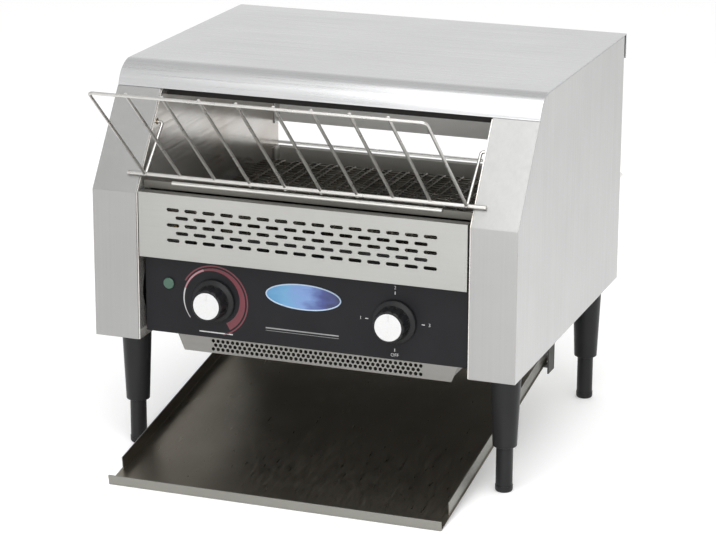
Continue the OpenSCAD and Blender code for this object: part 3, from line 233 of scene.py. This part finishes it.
# Painted reflection: the brown in this tone stands for the belt mirrored in the walls.
wall_painted_reflection_tone = blend_colours(wall_steel, spread(wall_steel, wall_broad, 0, 1),
                          (0.5, 0.46, 0.42), (0.66, 0.65, 0.63))
wire_up(wall_steel, wall_painted_reflection_tone, wall_shader.inputs["Base Color"])
wire_up(wall_steel, spread(wall_steel, wall_fine, 0.12, 0.26), wall_shader.inputs["Roughness"])
relief(wall_steel, wall_shader, wall_fine, 0.00001, edge=0.0004)
finish_nodes(wall_steel, "left_inner_wall", "right_inner_wall")


# ---- roof -------------------------------------------------------------------------------
# One pale satin sheet, rolled over at the front to make the hood and folded down at the
# rear. Its grain runs across, and its cut edges are deburred.

roof_steel = brushed_steel("roof_steel", (0.55, 0.552, 0.557), 0.28, grain_across)
eased_piece("top_cover", sheet_corner, roof_steel)


# ---- back panel -------------------------------------------------------------------------
# Two folded sheets, held by four pan-head screws; the open rear window is the gap between
# them. The slots in the upper one are louvres, each with a hood that is pressed out of the
# sheet and opens downward. The sheets' inner faces are duller, and their near-white colour
# is painted light, for the light that falls on them through the front opening.

back_steel = brushed_steel("back_steel", (0.6, 0.6, 0.59), 0.42, grain_across)
# Painted light: the inner faces get a near-white matt copy of the steel to look lit.
back_inside_painted_light = brushed_steel("back_inside_painted_light", (0.93, 0.92, 0.89), 0.6, grain_across, metallic=0.0)
for sheet in ("back_panel", "lower_back_panel"):
    folded = merged_copy(sheet)
    for face in folded.faces:
        face.material_index = 1 if face.normal.y < -0.9 else 0
    round_corners(folded, thin_corner)
    make_piece(sheet + "_eased", folded, [back_steel, back_inside_painted_light], sheet)


def add_form(shape, form):
    """Adds one bmesh to another and lets it go."""
    form_mesh = bpy.data.meshes.new("form")
    form.to_mesh(form_mesh)
    form.free()
    shape.from_mesh(form_mesh)
    bpy.data.meshes.remove(form_mesh)


def add_hood(shape, place, length, height, out, thick):
    """Quarter of a squashed ball, open below, as a press makes it in thin sheet."""
    ball = bmesh.new()
    bmesh.ops.create_uvsphere(ball, u_segments=20, v_segments=10, radius=1,
                              matrix=Matrix.Rotation(math.pi / 2, 4, "Y"))
    for normal in ((0, 1, 0), (0, 0, 1)):
        bmesh.ops.bisect_plane(ball, geom=ball.verts[:] + ball.edges[:] + ball.faces[:],
                               dist=0.0001, plane_co=(0, 0, 0), plane_no=normal,
                               clear_inner=True)
    bmesh.ops.scale(ball, verts=ball.verts, vec=(length / 2, out, height))
    bmesh.ops.recalc_face_normals(ball, faces=ball.faces)
    bmesh.ops.solidify(ball, geom=ball.faces, thickness=thick)
    bmesh.ops.translate(ball, verts=ball.verts, vec=place)
    add_form(shape, ball)


rear_face_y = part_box("back_panel")[1][1]
louvre_pitch = 0.032075
louvre_rows = (0.329, 0.338, 0.347)
louvres_each_side = 4
hood_drop = 0.002
hoods = bmesh.new()
for row_z in louvre_rows:
    for place in range(-louvres_each_side, louvres_each_side + 1):
        add_hood(hoods, (place * louvre_pitch, rear_face_y, row_z - hood_drop),
                 length=0.027, height=0.0055, out=0.003, thick=0.0006)
make_piece("louvre_hoods", hoods, [back_steel], "back_panel", replaced=False)


# ---- heating ----------------------------------------------------------------------------
# Sheathed heating tubes in ceramic sleeves, three above the belt and three inside its
# loop, under a bent reflector that is coloured nearly black as painted shade, for the
# shadowed strip under the hood's lip.

tube_steel = brushed_steel("tube_steel", (0.24, 0.2, 0.17), 0.5, (60.0, 60.0, 60.0), cloud=0.3)
finish_nodes(tube_steel, "upper_heaters", "lower_heaters")


def plain_finish(name, colour, roughness, depth=0.00003, cloud=0.1, edge=0.0005,
                 specular=0.5):
    """Moulded, cast or coated surface: a fine even texture and a slight change of tone."""
    material, shader = new_material(name, 0.0, roughness, specular)
    fine = pattern(material, (1400.0, 1400.0, 1400.0))
    broad = pattern(material, (30.0, 30.0, 30.0))
    tone = blend_colours(material, spread(material, broad, 0, 1),
                         shaded(colour, 1 - cloud), shaded(colour, 1 + cloud))
    wire_up(material, tone, shader.inputs["Base Color"])
    wire_up(material, spread(material, fine, roughness - 0.06, roughness + 0.06),
            shader.inputs["Roughness"])
    relief(material, shader, fine, depth, edge=edge)
    return material


# Painted shade: nearly black for the shadowed strip under the hood's lip.
reflector_painted_shade = plain_finish("reflector_painted_shade", (0.012, 0.011, 0.01), 0.6, specular=0.15)
finish_nodes(reflector_painted_shade, "upper_reflector")
ceramic = plain_finish("ceramic", (0.74, 0.7, 0.62), 0.3)
finish_nodes(ceramic, "heater_holders", "terminal_block", "indicator_lamp")


# ---- vent panel and feed lip ------------------------------------------------------------
# The slotted vent panel is satin stainless with its corners folded back. Behind its top
# edge the polished feed lip leads the bread down to the belt, and an apron closes the gap
# under the lip; the apron's dark colour is painted shade, for the shadow under the lip.

vent_steel = brushed_steel("vent_steel", (0.35, 0.35, 0.335), 0.4, grain_across)
eased_piece("vent_panel", thin_corner, vent_steel)
lip_steel = brushed_steel("lip_steel", (0.62, 0.61, 0.58), 0.3, grain_across, metallic=0.7)
eased_piece("feed_lip", thin_corner, lip_steel)
# Painted shade: the apron is dark for the shadow under the feed lip.
apron_painted_shade = brushed_steel("apron_painted_shade", (0.15, 0.145, 0.13), 0.45, grain_across, cloud=0.3)


def upright_plate(width, height):
    """A flat rectangle round the origin that faces the front."""
    plate = bmesh.new()
    bmesh.ops.create_grid(plate, x_segments=1, y_segments=1, size=0.5,
                          matrix=Matrix.Rotation(math.pi / 2, 4, "X"))
    bmesh.ops.scale(plate, verts=plate.verts, vec=(width, 1, height))
    return plate


apron_middle = (0, -0.1232, 0.2711)
apron = upright_plate(width=0.3242, height=0.0074)
bmesh.ops.translate(apron, verts=apron.verts, vec=apron_middle)
bmesh.ops.solidify(apron, geom=apron.faces, thickness=0.0008)
bmesh.ops.recalc_face_normals(apron, faces=apron.faces)
round_corners(apron, radius=0.0002)
make_piece("lip_apron", apron, [apron_painted_shade], "feed_lip", replaced=False)


# ---- control panel ----------------------------------------------------------------------
# Sheet with a satin black coat, set back between the stiles. It carries a printed speed
# scale round the left knob, four marked positions round the right knob and two rules.

panel_black = plain_finish("panel_black", (0.009, 0.009, 0.0105), 0.42, depth=0.00002,
                           specular=0.15)
eased_piece("control_panel", 0.0006, panel_black, segments=3)

panel_face_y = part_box("control_panel")[0][1]
print_depth = 0.00012


def print_ink(name, colour):
    return plain_finish(name, colour, 0.45, depth=0.00001, cloud=0.15, edge=0)


ink_grey = print_ink("ink_grey", (0.42, 0.42, 0.42))
ink_dim = print_ink("ink_dim", (0.2, 0.2, 0.2))
ink_rose = print_ink("ink_rose", (0.3, 0.14, 0.16))
ink_maroon = print_ink("ink_maroon", (0.1, 0.014, 0.022))


def add_arc(shape, centre, radius, widths, angles, steps=28):
    """Flat printed arc, clockwise in degrees from the top, that widens inward as it goes."""
    arc = bmesh.new()
    first_width = 0.0001
    outer = arc.verts.new((0, 0, radius))
    inner = arc.verts.new((0, 0, radius - first_width))
    edge = arc.edges.new((outer, inner))
    turn = math.radians(angles[1] - angles[0])
    bmesh.ops.spin(arc, geom=[outer, inner, edge], cent=(0, 0, 0), axis=(0, 1, 0),
                   angle=turn, steps=steps)
    for vert in arc.verts:
        if vert.co.length < radius - first_width / 2:
            share = (math.atan2(vert.co.x, vert.co.z) % math.tau) / turn
            width = widths[0] + (widths[1] - widths[0]) * min(share, 1.0)
            vert.co *= (radius - width) / vert.co.length
    bmesh.ops.rotate(arc, verts=arc.verts, cent=(0, 0, 0),
                     matrix=Matrix.Rotation(math.radians(angles[0]), 3, "Y"))
    lay_print(shape, arc, centre)


def lay_print(shape, flat, centre):
    """Gives a flat shape the thickness of ink and lays it on the panel's face."""
    bmesh.ops.recalc_face_normals(flat, faces=flat.faces)
    for face in flat.faces:
        if face.normal.y > 0:
            face.normal_flip()
    pushed = bmesh.ops.extrude_face_region(flat, geom=flat.faces)
    front = [item for item in pushed["geom"] if isinstance(item, bmesh.types.BMVert)]
    bmesh.ops.translate(flat, verts=front, vec=(0, -print_depth, 0))
    bmesh.ops.recalc_face_normals(flat, faces=flat.faces)
    bmesh.ops.translate(flat, verts=flat.verts, vec=(centre[0], panel_face_y, centre[1]))
    add_form(shape, flat)


def add_bar(shape, centre, width, height, tilt=0.0):
    """A printed bar, turned clockwise by tilt in degrees."""
    bar = upright_plate(width, height)
    bmesh.ops.rotate(bar, verts=bar.verts, cent=(0, 0, 0),
                     matrix=Matrix.Rotation(math.radians(tilt), 3, "Y"))
    lay_print(shape, bar, centre)


def add_figure(shape, text, centre, height):
    """A plain figure, made a flat mesh first and then laid on the panel."""
    letters = bpy.data.curves.new("figure", "FONT")
    letters.body = text
    letters.size = height
    letters.align_x = "CENTER"
    letters.align_y = "CENTER"
    holder = bpy.data.objects.new("figure", letters)
    flat_mesh = bpy.data.meshes.new_from_object(holder)
    flat = bmesh.new()
    flat.from_mesh(flat_mesh)
    bmesh.ops.rotate(flat, verts=flat.verts, cent=(0, 0, 0),
                     matrix=Matrix.Rotation(math.pi / 2, 3, "X"))
    bpy.data.objects.remove(holder)
    bpy.data.curves.remove(letters)
    bpy.data.meshes.remove(flat_mesh)
    lay_print(shape, flat, centre)


# Places on the panel are given as (across, up).
left_knob = (-0.09, 0.165)
right_knob = (0.09, 0.165)
scale_r = 0.0315
outer_line_r = 0.0345
maroon_print = bmesh.new()
add_arc(maroon_print, left_knob, scale_r, widths=(0.002, 0.0075), angles=(-20, 150))
add_arc(maroon_print, left_knob, outer_line_r, widths=(0.0014, 0.0014), angles=(-60, 165))
make_piece("speed_scale_band", maroon_print, [ink_maroon], "control_panel", replaced=False)
rose_print = bmesh.new()
add_arc(rose_print, left_knob, scale_r, widths=(0.0014, 0.002), angles=(-72, -20), steps=12)
make_piece("speed_scale_middle", rose_print, [ink_rose], "control_panel", replaced=False)
grey_print = bmesh.new()
add_arc(grey_print, left_knob, scale_r, widths=(0.0006, 0.0014), angles=(-128, -72), steps=12)
tick_r = 0.0275
for angle in (-90, 0, 90, 180):
    tick = (right_knob[0] + tick_r * math.sin(math.radians(angle)),
            right_knob[1] + tick_r * math.cos(math.radians(angle)))
    add_bar(grey_print, tick, width=0.0008, height=0.003, tilt=angle)
figure_across = 0.0335
figure_up = 0.0325
for text, across, up in (("1", -figure_across, 0.0), ("2", 0.0, figure_up),
                         ("3", figure_across, 0.0), ("OFF", 0.0, -figure_up)):
    add_figure(grey_print, text, (right_knob[0] + across, right_knob[1] + up), height=0.0046)
add_bar(grey_print, (-0.0885, 0.1335), width=0.034, height=0.0011)
make_piece("panel_marks", grey_print, [ink_grey], "control_panel", replaced=False)
rule_print = bmesh.new()
add_bar(rule_print, (-0.0015, 0.1445), width=0.073, height=0.0012)
add_bar(rule_print, (-0.0015, 0.142), width=0.073, height=0.0004)
make_piece("panel_rules", rule_print, [ink_dim], "control_panel", replaced=False)


# ---- badge and lamp ---------------------------------------------------------------------
# A plain oval plate with a pale rim, enamelled from sky blue to navy, and a dull green
# lens in a chamfered collar. Both are pressed into the control panel.

badge_low, badge_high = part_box("badge_plate")
badge_blue, badge_shader = new_material("badge_blue", 0.0, 0.22)
badge_cloud = pattern(badge_blue, (55.0, 55.0, 120.0), detail=2.0)
badge_place = along_axis(badge_blue, "X", badge_low[0], badge_high[0])
badge_mix = add(badge_blue, "Math")
badge_mix.operation = "ADD"
wire_up(badge_blue, badge_place, badge_mix.inputs[0])
wire_up(badge_blue, spread(badge_blue, badge_cloud, -0.09, 0.09), badge_mix.inputs[1])
badge_tone = blend_colours(badge_blue, badge_mix.outputs["Value"], (0.045, 0.17, 0.32),
                           (0.09, 0.23, 0.38), (0.12, 0.2, 0.4), (0.03, 0.045, 0.17),
                           (0.004, 0.005, 0.018))
wire_up(badge_blue, badge_tone, badge_shader.inputs["Base Color"])
relief(badge_blue, badge_shader, badge_cloud, 0.00001)
badge_rim = plain_finish("badge_rim", (0.3, 0.38, 0.48), 0.3, edge=0)
rim_width = 0.0011
enamel_recess = 0.0003
plate = merged_copy("badge_plate")
badge_front = [face for face in plate.faces if face.normal.y < -0.9]
bmesh.ops.inset_region(plate, faces=badge_front, thickness=rim_width, depth=0)
for face in plate.faces:
    face.material_index = 1
for face in badge_front:
    face.material_index = 0
bmesh.ops.translate(plate, verts=list({vert for face in badge_front for vert in face.verts}),
                    vec=(0, enamel_recess, 0))
make_piece("oval_badge", plate, [badge_blue, badge_rim], "badge_plate", flat_angle=40)
lens_green = plain_finish("lens_green", (0.032, 0.078, 0.054), 0.18, edge=0)
lens = merged_copy("indicator_lens")
round_corners(lens, radius=0.0009, segments=4)
make_piece("domed_lens", lens, [lens_green], "indicator_lens")


# ---- knobs ------------------------------------------------------------------------------
# Satin black moulded knobs with fluted grips and a skirt, each with a spun aluminium disc
# let into its face. They push on to the steel spindles behind the panel.

knob_black = plain_finish("knob_black", (0.012, 0.012, 0.013), 0.38, specular=0.2)
for knob in ("speed_knob", "selector_knob"):
    eased_piece(knob, 0.0004, knob_black, sharp=30)
finish_nodes(knob_black, "speed_regulator", "selector_switch", "fan_frame", "fan_impeller",
             "cable_gland")
disc_metal, disc_shader = new_material("disc_metal", 0.25, 0.42)
disc_fine = pattern(disc_metal, (900.0, 60.0, 900.0))
disc_tone = blend_colours(disc_metal, spread(disc_metal, disc_fine, 0, 1),
                          (0.5, 0.5, 0.5), (0.57, 0.57, 0.565))
wire_up(disc_metal, disc_tone, disc_shader.inputs["Base Color"])
relief(disc_metal, disc_shader, disc_fine, 0.00002)
for cap in ("speed_knob_cap", "selector_knob_cap"):
    eased_piece(cap, thin_corner, disc_metal)


# ---- feed rack and guard ----------------------------------------------------------------
# Bright welded wire. The rack's frame is one wire bent round three sides, ten wires across
# in all, with a thicker rail below and hooked ends that turn in the bushes.
# The guard behind the rear face is one wire with two round bends.

def rounded_route(corners, bend, steps=4):
    """The corners' polyline with each inner corner replaced by a smooth bend."""
    route = [Vector(corners[0])]
    for before, here, after in zip(corners, corners[1:], corners[2:]):
        here = Vector(here)
        enter = here + (Vector(before) - here).normalized() * bend
        leave = here + (Vector(after) - here).normalized() * bend
        for step in range(steps + 1):
            share = step / steps
            route.append(enter.lerp(here, share).lerp(here.lerp(leave, share), share))
    route.append(Vector(corners[-1]))
    return route


def add_wire(shape, route, radius, sides=12):
    """Sweeps a round wire along the route by pushing its end ring from point to point."""
    ahead = (route[1] - route[0]).normalized()
    turn = ahead.to_track_quat("Z", "X").to_matrix().to_4x4()
    ring = bmesh.ops.create_circle(shape, cap_ends=True, segments=sides, radius=radius,
                                   matrix=Matrix.Translation(route[0]) @ turn)["verts"]
    rim = list({edge for vert in ring for edge in vert.link_edges})
    for step in range(1, len(route)):
        ahead = (route[step] - route[step - 1]).normalized()
        mitre = ahead
        if step + 1 < len(route):
            mitre = (ahead + (route[step + 1] - route[step]).normalized()).normalized()
        pushed = bmesh.ops.extrude_edge_only(shape, edges=rim)["geom"]
        rim = [item for item in pushed if isinstance(item, bmesh.types.BMEdge)
               and len(item.link_faces) == 1]
        for vert in {vert for edge in rim for vert in edge.verts}:
            vert.co += ahead * ((route[step] - vert.co).dot(mitre) / ahead.dot(mitre))
    bmesh.ops.holes_fill(shape, edges=rim, sides=sides + 1)


def add_weld(shape, place, size):
    bmesh.ops.create_icosphere(shape, subdivisions=2, radius=1,
                               matrix=Matrix.Translation(place) @ Matrix.Diagonal((*size, 1)))


wire_grain = (90.0, 90.0, 90.0)
bright_wire = brushed_steel("bright_wire", (0.5, 0.49, 0.47), 0.3, wire_grain, depth=0.000004)
rack_half = 0.1578
rail_half = 0.176
hook_end = 0.1665
rack_wire_r = 0.0015
rail_r = 0.002
rack_wires = 10
low_place = Vector((0, -0.128762, 0.282))
high_place = Vector((0, -0.24575, 0.38499))
pivot_place = Vector((0, -0.0880833, 0.323))
lean = (high_place - low_place).normalized()
lift = Vector((0, lean.z, -lean.y))
rack = bmesh.new()
side = Vector((rack_half, 0, 0))
rail_side = Vector((rail_half, 0, 0))
frame_foot = lean * 0.001
add_wire(rack, rounded_route([low_place - side + frame_foot, high_place - side,
                              high_place + side, low_place + side + frame_foot], bend=0.005),
         rack_wire_r)
add_wire(rack, [low_place - rail_side, low_place + rail_side], rail_r, sides=16)
for hand in (-1, 1):
    add_wire(rack, rounded_route([low_place + hand * side, pivot_place + hand * side,
                                  pivot_place + Vector((hand * hook_end, 0, 0))], bend=0.003),
             rack_wire_r)
    add_weld(rack, low_place + hand * side + lean * 0.0015, size=(0.0022, 0.0022, 0.0022))

# The wires between lie on the rail and on the top wire, and pass the rail by a little.
foot_past = 0.002
foot_lift = 0.0027
head_short = 0.0005
head_lift = 0.0022
foot_weld_sink = 0.0008
head_weld_sink = 0.001
for place in range(1, rack_wires - 1):
    across = Vector((-rack_half + place * 2 * rack_half / (rack_wires - 1), 0, 0))
    foot = low_place + across + lift * foot_lift - lean * foot_past
    head = high_place + across + lift * head_lift - lean * head_short
    add_wire(rack, [foot, head], rack_wire_r)
    add_weld(rack, foot + lean * foot_past - lift * foot_weld_sink,
             size=(0.0018, 0.0017, 0.0017))
    add_weld(rack, head - lift * head_weld_sink, size=(0.0016, 0.0013, 0.0013))

# Use has bowed the rail down between its ends, and the wires' feet with it.
rail_bow = 0.0035
bow_height = 0.03
for vert in rack.verts:
    near = 1 - abs((vert.co - low_place).dot(lean)) / bow_height
    vert.co.z -= rail_bow * max(0, near) * (1 - (vert.co.x / rail_half) ** 2)
make_piece("welded_rack", rack, [bright_wire], "feed_rack", flat_angle=60)

guard_low, guard_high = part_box("rear_guard")
guard_r = 0.002
guard_inset = 0.0021
guard_z = (guard_low[2] + guard_high[2]) / 2
guard_x = guard_high[0] - guard_inset
guard_back = guard_high[1] - guard_inset
guard = bmesh.new()
add_wire(guard, rounded_route([(-guard_x, guard_low[1], guard_z), (-guard_x, guard_back, guard_z),
                               (guard_x, guard_back, guard_z), (guard_x, guard_low[1], guard_z)],
                              bend=0.008, steps=6), guard_r)
plated_wire = brushed_steel("plated_wire", (0.86, 0.855, 0.84), 0.22, wire_grain,
                            depth=0.000004)
make_piece("bent_guard", guard, [plated_wire], "rear_guard", flat_angle=60)


# ---- wire belt --------------------------------------------------------------------------
# Flat-flex belt of heat-browned stainless wire: 69 zigzag strands across the belt, each
# hooked over the next by a row of narrow loops, joined end to end round both shafts.

belt_steel = brushed_steel("belt_steel", (0.2, 0.185, 0.155), 0.45, wire_grain, cloud=0.35)
belt_low, belt_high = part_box("conveyor_belt")
belt_r = 0.024
belt_cover = 0.0011
belt_half = belt_high[0]
front_shaft_y = belt_low[1] + belt_r + belt_cover
shaft_z = belt_high[2] - belt_r - belt_cover
belt_run = belt_high[1] - belt_low[1] - 2 * (belt_r + belt_cover)
belt_loop = 2 * belt_run + math.tau * belt_r
strands = 69
strand_pitch = belt_loop / strands
strand_r = 0.001
strand_z = -0.00035
hook_columns = 16
hook_half = 0.003
hook_reach = strand_pitch + 0.0016
hook_z = 0.00075

# One strand, laid flat: y runs along the belt, and z is its height over the pitch line.
corners = [(-belt_half + strand_r, 0, strand_z)]
for column in range(1, hook_columns):
    middle = -belt_half + column * 2 * belt_half / hook_columns
    corners += [(middle - hook_half, 0, strand_z), (middle - hook_half, hook_reach, hook_z),
                (middle + hook_half, hook_reach, hook_z), (middle + hook_half, 0, strand_z)]
corners.append((belt_half - strand_r, 0, strand_z))
strand = bmesh.new()
add_wire(strand, rounded_route(corners, bend=0.0011, steps=1), strand_r, sides=6)
strand_mesh = bpy.data.meshes.new("strand_form")
strand.to_mesh(strand_mesh)
strand.free()
belt = bmesh.new()
for count in range(strands):
    before = len(belt.verts)
    belt.from_mesh(strand_mesh)
    belt.verts.ensure_lookup_table()
    bmesh.ops.translate(belt, verts=belt.verts[before:], vec=(0, count * strand_pitch, 0))
bpy.data.meshes.remove(strand_mesh)

# The flat belt is wrapped round both shafts: top run, rear turn, bottom run, front turn.
half_turn = math.pi * belt_r
for vert in belt.verts:
    along = vert.co.y % belt_loop
    radius = belt_r + vert.co.z
    if along < belt_run:
        y, z = along, radius
    elif along < belt_run + half_turn:
        angle = (along - belt_run) / belt_r
        y, z = belt_run + radius * math.sin(angle), radius * math.cos(angle)
    elif along < 2 * belt_run + half_turn:
        y, z = 2 * belt_run + half_turn - along, -radius
    else:
        angle = (along - 2 * belt_run - half_turn) / belt_r
        y, z = -radius * math.sin(angle), -radius * math.cos(angle)
    vert.co.y = front_shaft_y + y
    vert.co.z = shaft_z + z
bmesh.ops.recalc_face_normals(belt, faces=belt.faces)
make_piece("woven_belt", belt, [belt_steel], "conveyor_belt", flat_angle=60)
finish_nodes(belt_steel, "drive_chain", "drive_sprockets", "idler_sprockets",
             "shaft_sprocket", "motor_sprocket")


# ---- drive, bearings and fittings -------------------------------------------------------
# Zinc-plated shafts, gear motor, brackets, runners and fastenings, dark steel hangers for
# the tray, and sintered bronze bushes in the walls. The screws have cross recesses.

plated_grain = (120.0, 120.0, 120.0)
zinc = brushed_steel("zinc", (0.5, 0.51, 0.52), 0.35, plated_grain)
finish_nodes(zinc, "drive_shaft", "idler_shaft", "gear_motor", "motor_bracket", "belt_rails",
             "pan_rails", "speed_spindle", "selector_spindle")
hanger_steel = brushed_steel("hanger_steel", (0.1, 0.098, 0.094), 0.45, plated_grain)
finish_nodes(hanger_steel, "tray_hangers")


def add_cross_recess(shape, head, reach, deep):
    """Turns a screw head's flat face into a rim round a cross-shaped recess."""
    centre = head.calc_center_median()
    rim = head.edges[:]
    shape.faces.remove(head)
    arm = reach * 0.28
    outline = [(reach, arm), (arm, arm), (arm, reach), (-arm, reach), (-arm, arm),
               (-reach, arm), (-reach, -arm), (-arm, -arm), (-arm, -reach), (arm, -reach),
               (arm, -arm), (reach, -arm)]
    corners = [shape.verts.new(centre + Vector((x, 0, z))) for x, z in outline]
    cross = [shape.edges.new(pair) for pair in zip(corners, corners[1:] + corners[:1])]
    bmesh.ops.bridge_loops(shape, edges=rim + cross)
    sunk = bmesh.ops.extrude_edge_only(shape, edges=cross)["geom"]
    floor_verts = [item for item in sunk if isinstance(item, bmesh.types.BMVert)]
    bmesh.ops.translate(shape, verts=floor_verts, vec=(0, -deep, 0))
    bmesh.ops.holes_fill(shape, edges=[item for item in sunk
                                       if isinstance(item, bmesh.types.BMEdge)
                                       and item.is_boundary], sides=12)


fastenings = merged_copy("screws")
round_corners(fastenings, radius=0.0004, sharp=50)
screw_face_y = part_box("screws")[1][1]
face_slack = 0.0002
for head in [face for face in fastenings.faces if face.normal.y > 0.99
             and face.calc_center_median().y > screw_face_y - face_slack]:
    add_cross_recess(fastenings, head, reach=0.0017, deep=0.0011)
bmesh.ops.recalc_face_normals(fastenings, faces=fastenings.faces)
make_piece("nuts_and_screws", fastenings, [zinc], "screws", flat_angle=35)
bronze = brushed_steel("bronze", (0.42, 0.3, 0.15), 0.42, (300.0, 300.0, 300.0), cloud=0.15)
finish_nodes(bronze, "shaft_bearings", "rack_bushes")


# ---- crumb pan and chute ----------------------------------------------------------------
# The crumb pan is mill-finish sheet with a punched front, and slides out on two runners.
# The chute is one curved polished sheet behind the belt.

pan_steel = brushed_steel("pan_steel", (0.22, 0.215, 0.203), 0.38, grain_across)
eased_piece("crumb_pan", thin_corner, pan_steel)
chute_steel = brushed_steel("chute_steel", (0.66, 0.65, 0.6), 0.45, grain_across, metallic=0.45,
                            edge=0.0004)
finish_nodes(chute_steel, "toast_chute")


# ---- toast tray -------------------------------------------------------------------------
# Folded sheet with bare outer faces and a browner, more mirror-like inside; the inside's
# brown is painted reflection of the machine's dark underside. It leans on its front lip
# and rests on the hanger pins at the rear.

# Painted reflection: the browner inside stands for the dark underside it mirrors.
tray_dark = brushed_steel("tray_dark", (0.27, 0.245, 0.205), 0.32, grain_deep, cloud=0.2)
tray_bare = brushed_steel("tray_bare", (0.23, 0.226, 0.205), 0.4, grain_across, metallic=0.8)
tray = merged_copy("toast_tray")
tray_slope = math.radians(9.3065)
tray_up = Vector((0, -math.sin(tray_slope), math.cos(tray_slope)))
least_floor_area = 0.02
for face in tray.faces:
    centre = face.calc_center_median()
    inward = face.normal.x * centre.x < -0.01
    floor_face = face.normal.dot(tray_up) > 0.9 and face.calc_area() > least_floor_area
    face.material_index = 0 if floor_face or inward else 1
round_corners(tray, thin_corner)
make_piece("folded_tray", tray, [tray_dark, tray_bare], "toast_tray")


# ---- legs -------------------------------------------------------------------------------
# Tapered black moulded sleeves with a thinner screw foot in each. The sleeve's stud is
# bolted up into the floor plate of its side housing.

leg_black = plain_finish("leg_black", (0.012, 0.012, 0.013), 0.36, specular=0.22)
for place in ("front_left", "front_right", "rear_left", "rear_right"):
    eased_piece(place + "_leg", 0.0006, leg_black, segments=3)
    eased_piece(place + "_foot", 0.0005, leg_black, segments=3)


# ---- floor, light and camera ------------------------------------------------------------
# A pale floor under soft light that falls off overhead, a large softbox ahead and to the
# right with one above and a low one in front, and the camera at the photograph's place.

floor_half = 14
floor_mesh = bpy.data.meshes.new("floor")
floor_shape = bmesh.new()
bmesh.ops.create_grid(floor_shape, x_segments=1, y_segments=1, size=floor_half)
floor_shape.to_mesh(floor_mesh)
floor_shape.free()
floor = bpy.data.objects.new("floor", floor_mesh)
bpy.context.scene.collection.objects.link(floor)
floor_white, floor_shader = new_material("floor_white", 0.0, 0.7)
floor_shader.inputs["Base Color"].default_value = (0.84, 0.84, 0.84, 1)
floor_shader.inputs["Emission Color"].default_value = (1, 1, 1, 1)
floor_shader.inputs["Emission Strength"].default_value = 0.2
floor.data.materials.append(floor_white)

world = bpy.data.worlds.new("studio")
bpy.context.scene.world = world
world.use_nodes = True
sky = world.node_tree.nodes["Background"]
sky_place = add(world, "TexCoord")
sky_apart = add(world, "SeparateXYZ")
wire_up(world, sky_place.outputs["Generated"], sky_apart.inputs["Vector"])
sky_height = spread(world, sky_apart.outputs["Z"], 0, 1, from_low=0.12, from_high=0.6)
sky_tone = blend_colours(world, sky_height, (1, 1, 1), (0.68, 0.68, 0.68))
wire_up(world, sky_tone, sky.inputs["Color"])
sky.inputs["Strength"].default_value = 1.14


def softbox(name, place, aim, width, height, power):
    """A rectangular soft light that faces the point aim."""
    lamp = bpy.data.lights.new(name, "AREA")
    lamp.shape = "RECTANGLE"
    lamp.size = width
    lamp.size_y = height
    lamp.energy = power
    holder = bpy.data.objects.new(name, lamp)
    bpy.context.scene.collection.objects.link(holder)
    holder.location = place
    holder.rotation_euler = (Vector(aim) - Vector(place)).to_track_quat("-Z", "Y").to_euler()


softbox("front_softbox", (0.37, -1.3, 1.75), aim=(0, 0, 0.3), width=2.05, height=1.5, power=25)
softbox("top_softbox", (0.4, -0.35, 2.2), aim=(0.4, -0.3, 0), width=1.95, height=1.0, power=13)
softbox("low_softbox", (0.25, -1.5, 0.42), aim=(0.05, 0.2, 0.3), width=1.3, height=0.24, power=6)

camera_place = Vector((0.85597, -2.32014, 0.91701))
camera_aim = Vector((-0.03034, 0.10198, 0.13659))
camera_roll = 0.22
focal_pixels = 2659.8
picture_width = 716
lens_data = bpy.data.cameras.new("photo_camera")
lens_data.sensor_fit = "HORIZONTAL"
lens_data.sensor_width = 36
lens_data.lens = focal_pixels * lens_data.sensor_width / picture_width
lens_data.clip_end = 60
camera = bpy.data.objects.new("photo_camera", lens_data)
bpy.context.scene.collection.objects.link(camera)
turn = (camera_aim - camera_place).to_track_quat("-Z", "Y").to_matrix().to_4x4()
camera.matrix_world = (Matrix.Translation(camera_place) @ turn
                       @ Matrix.Rotation(math.radians(camera_roll), 4, "Z"))
bpy.context.scene.camera = camera
bpy.context.scene.view_settings.view_transform = "Standard"
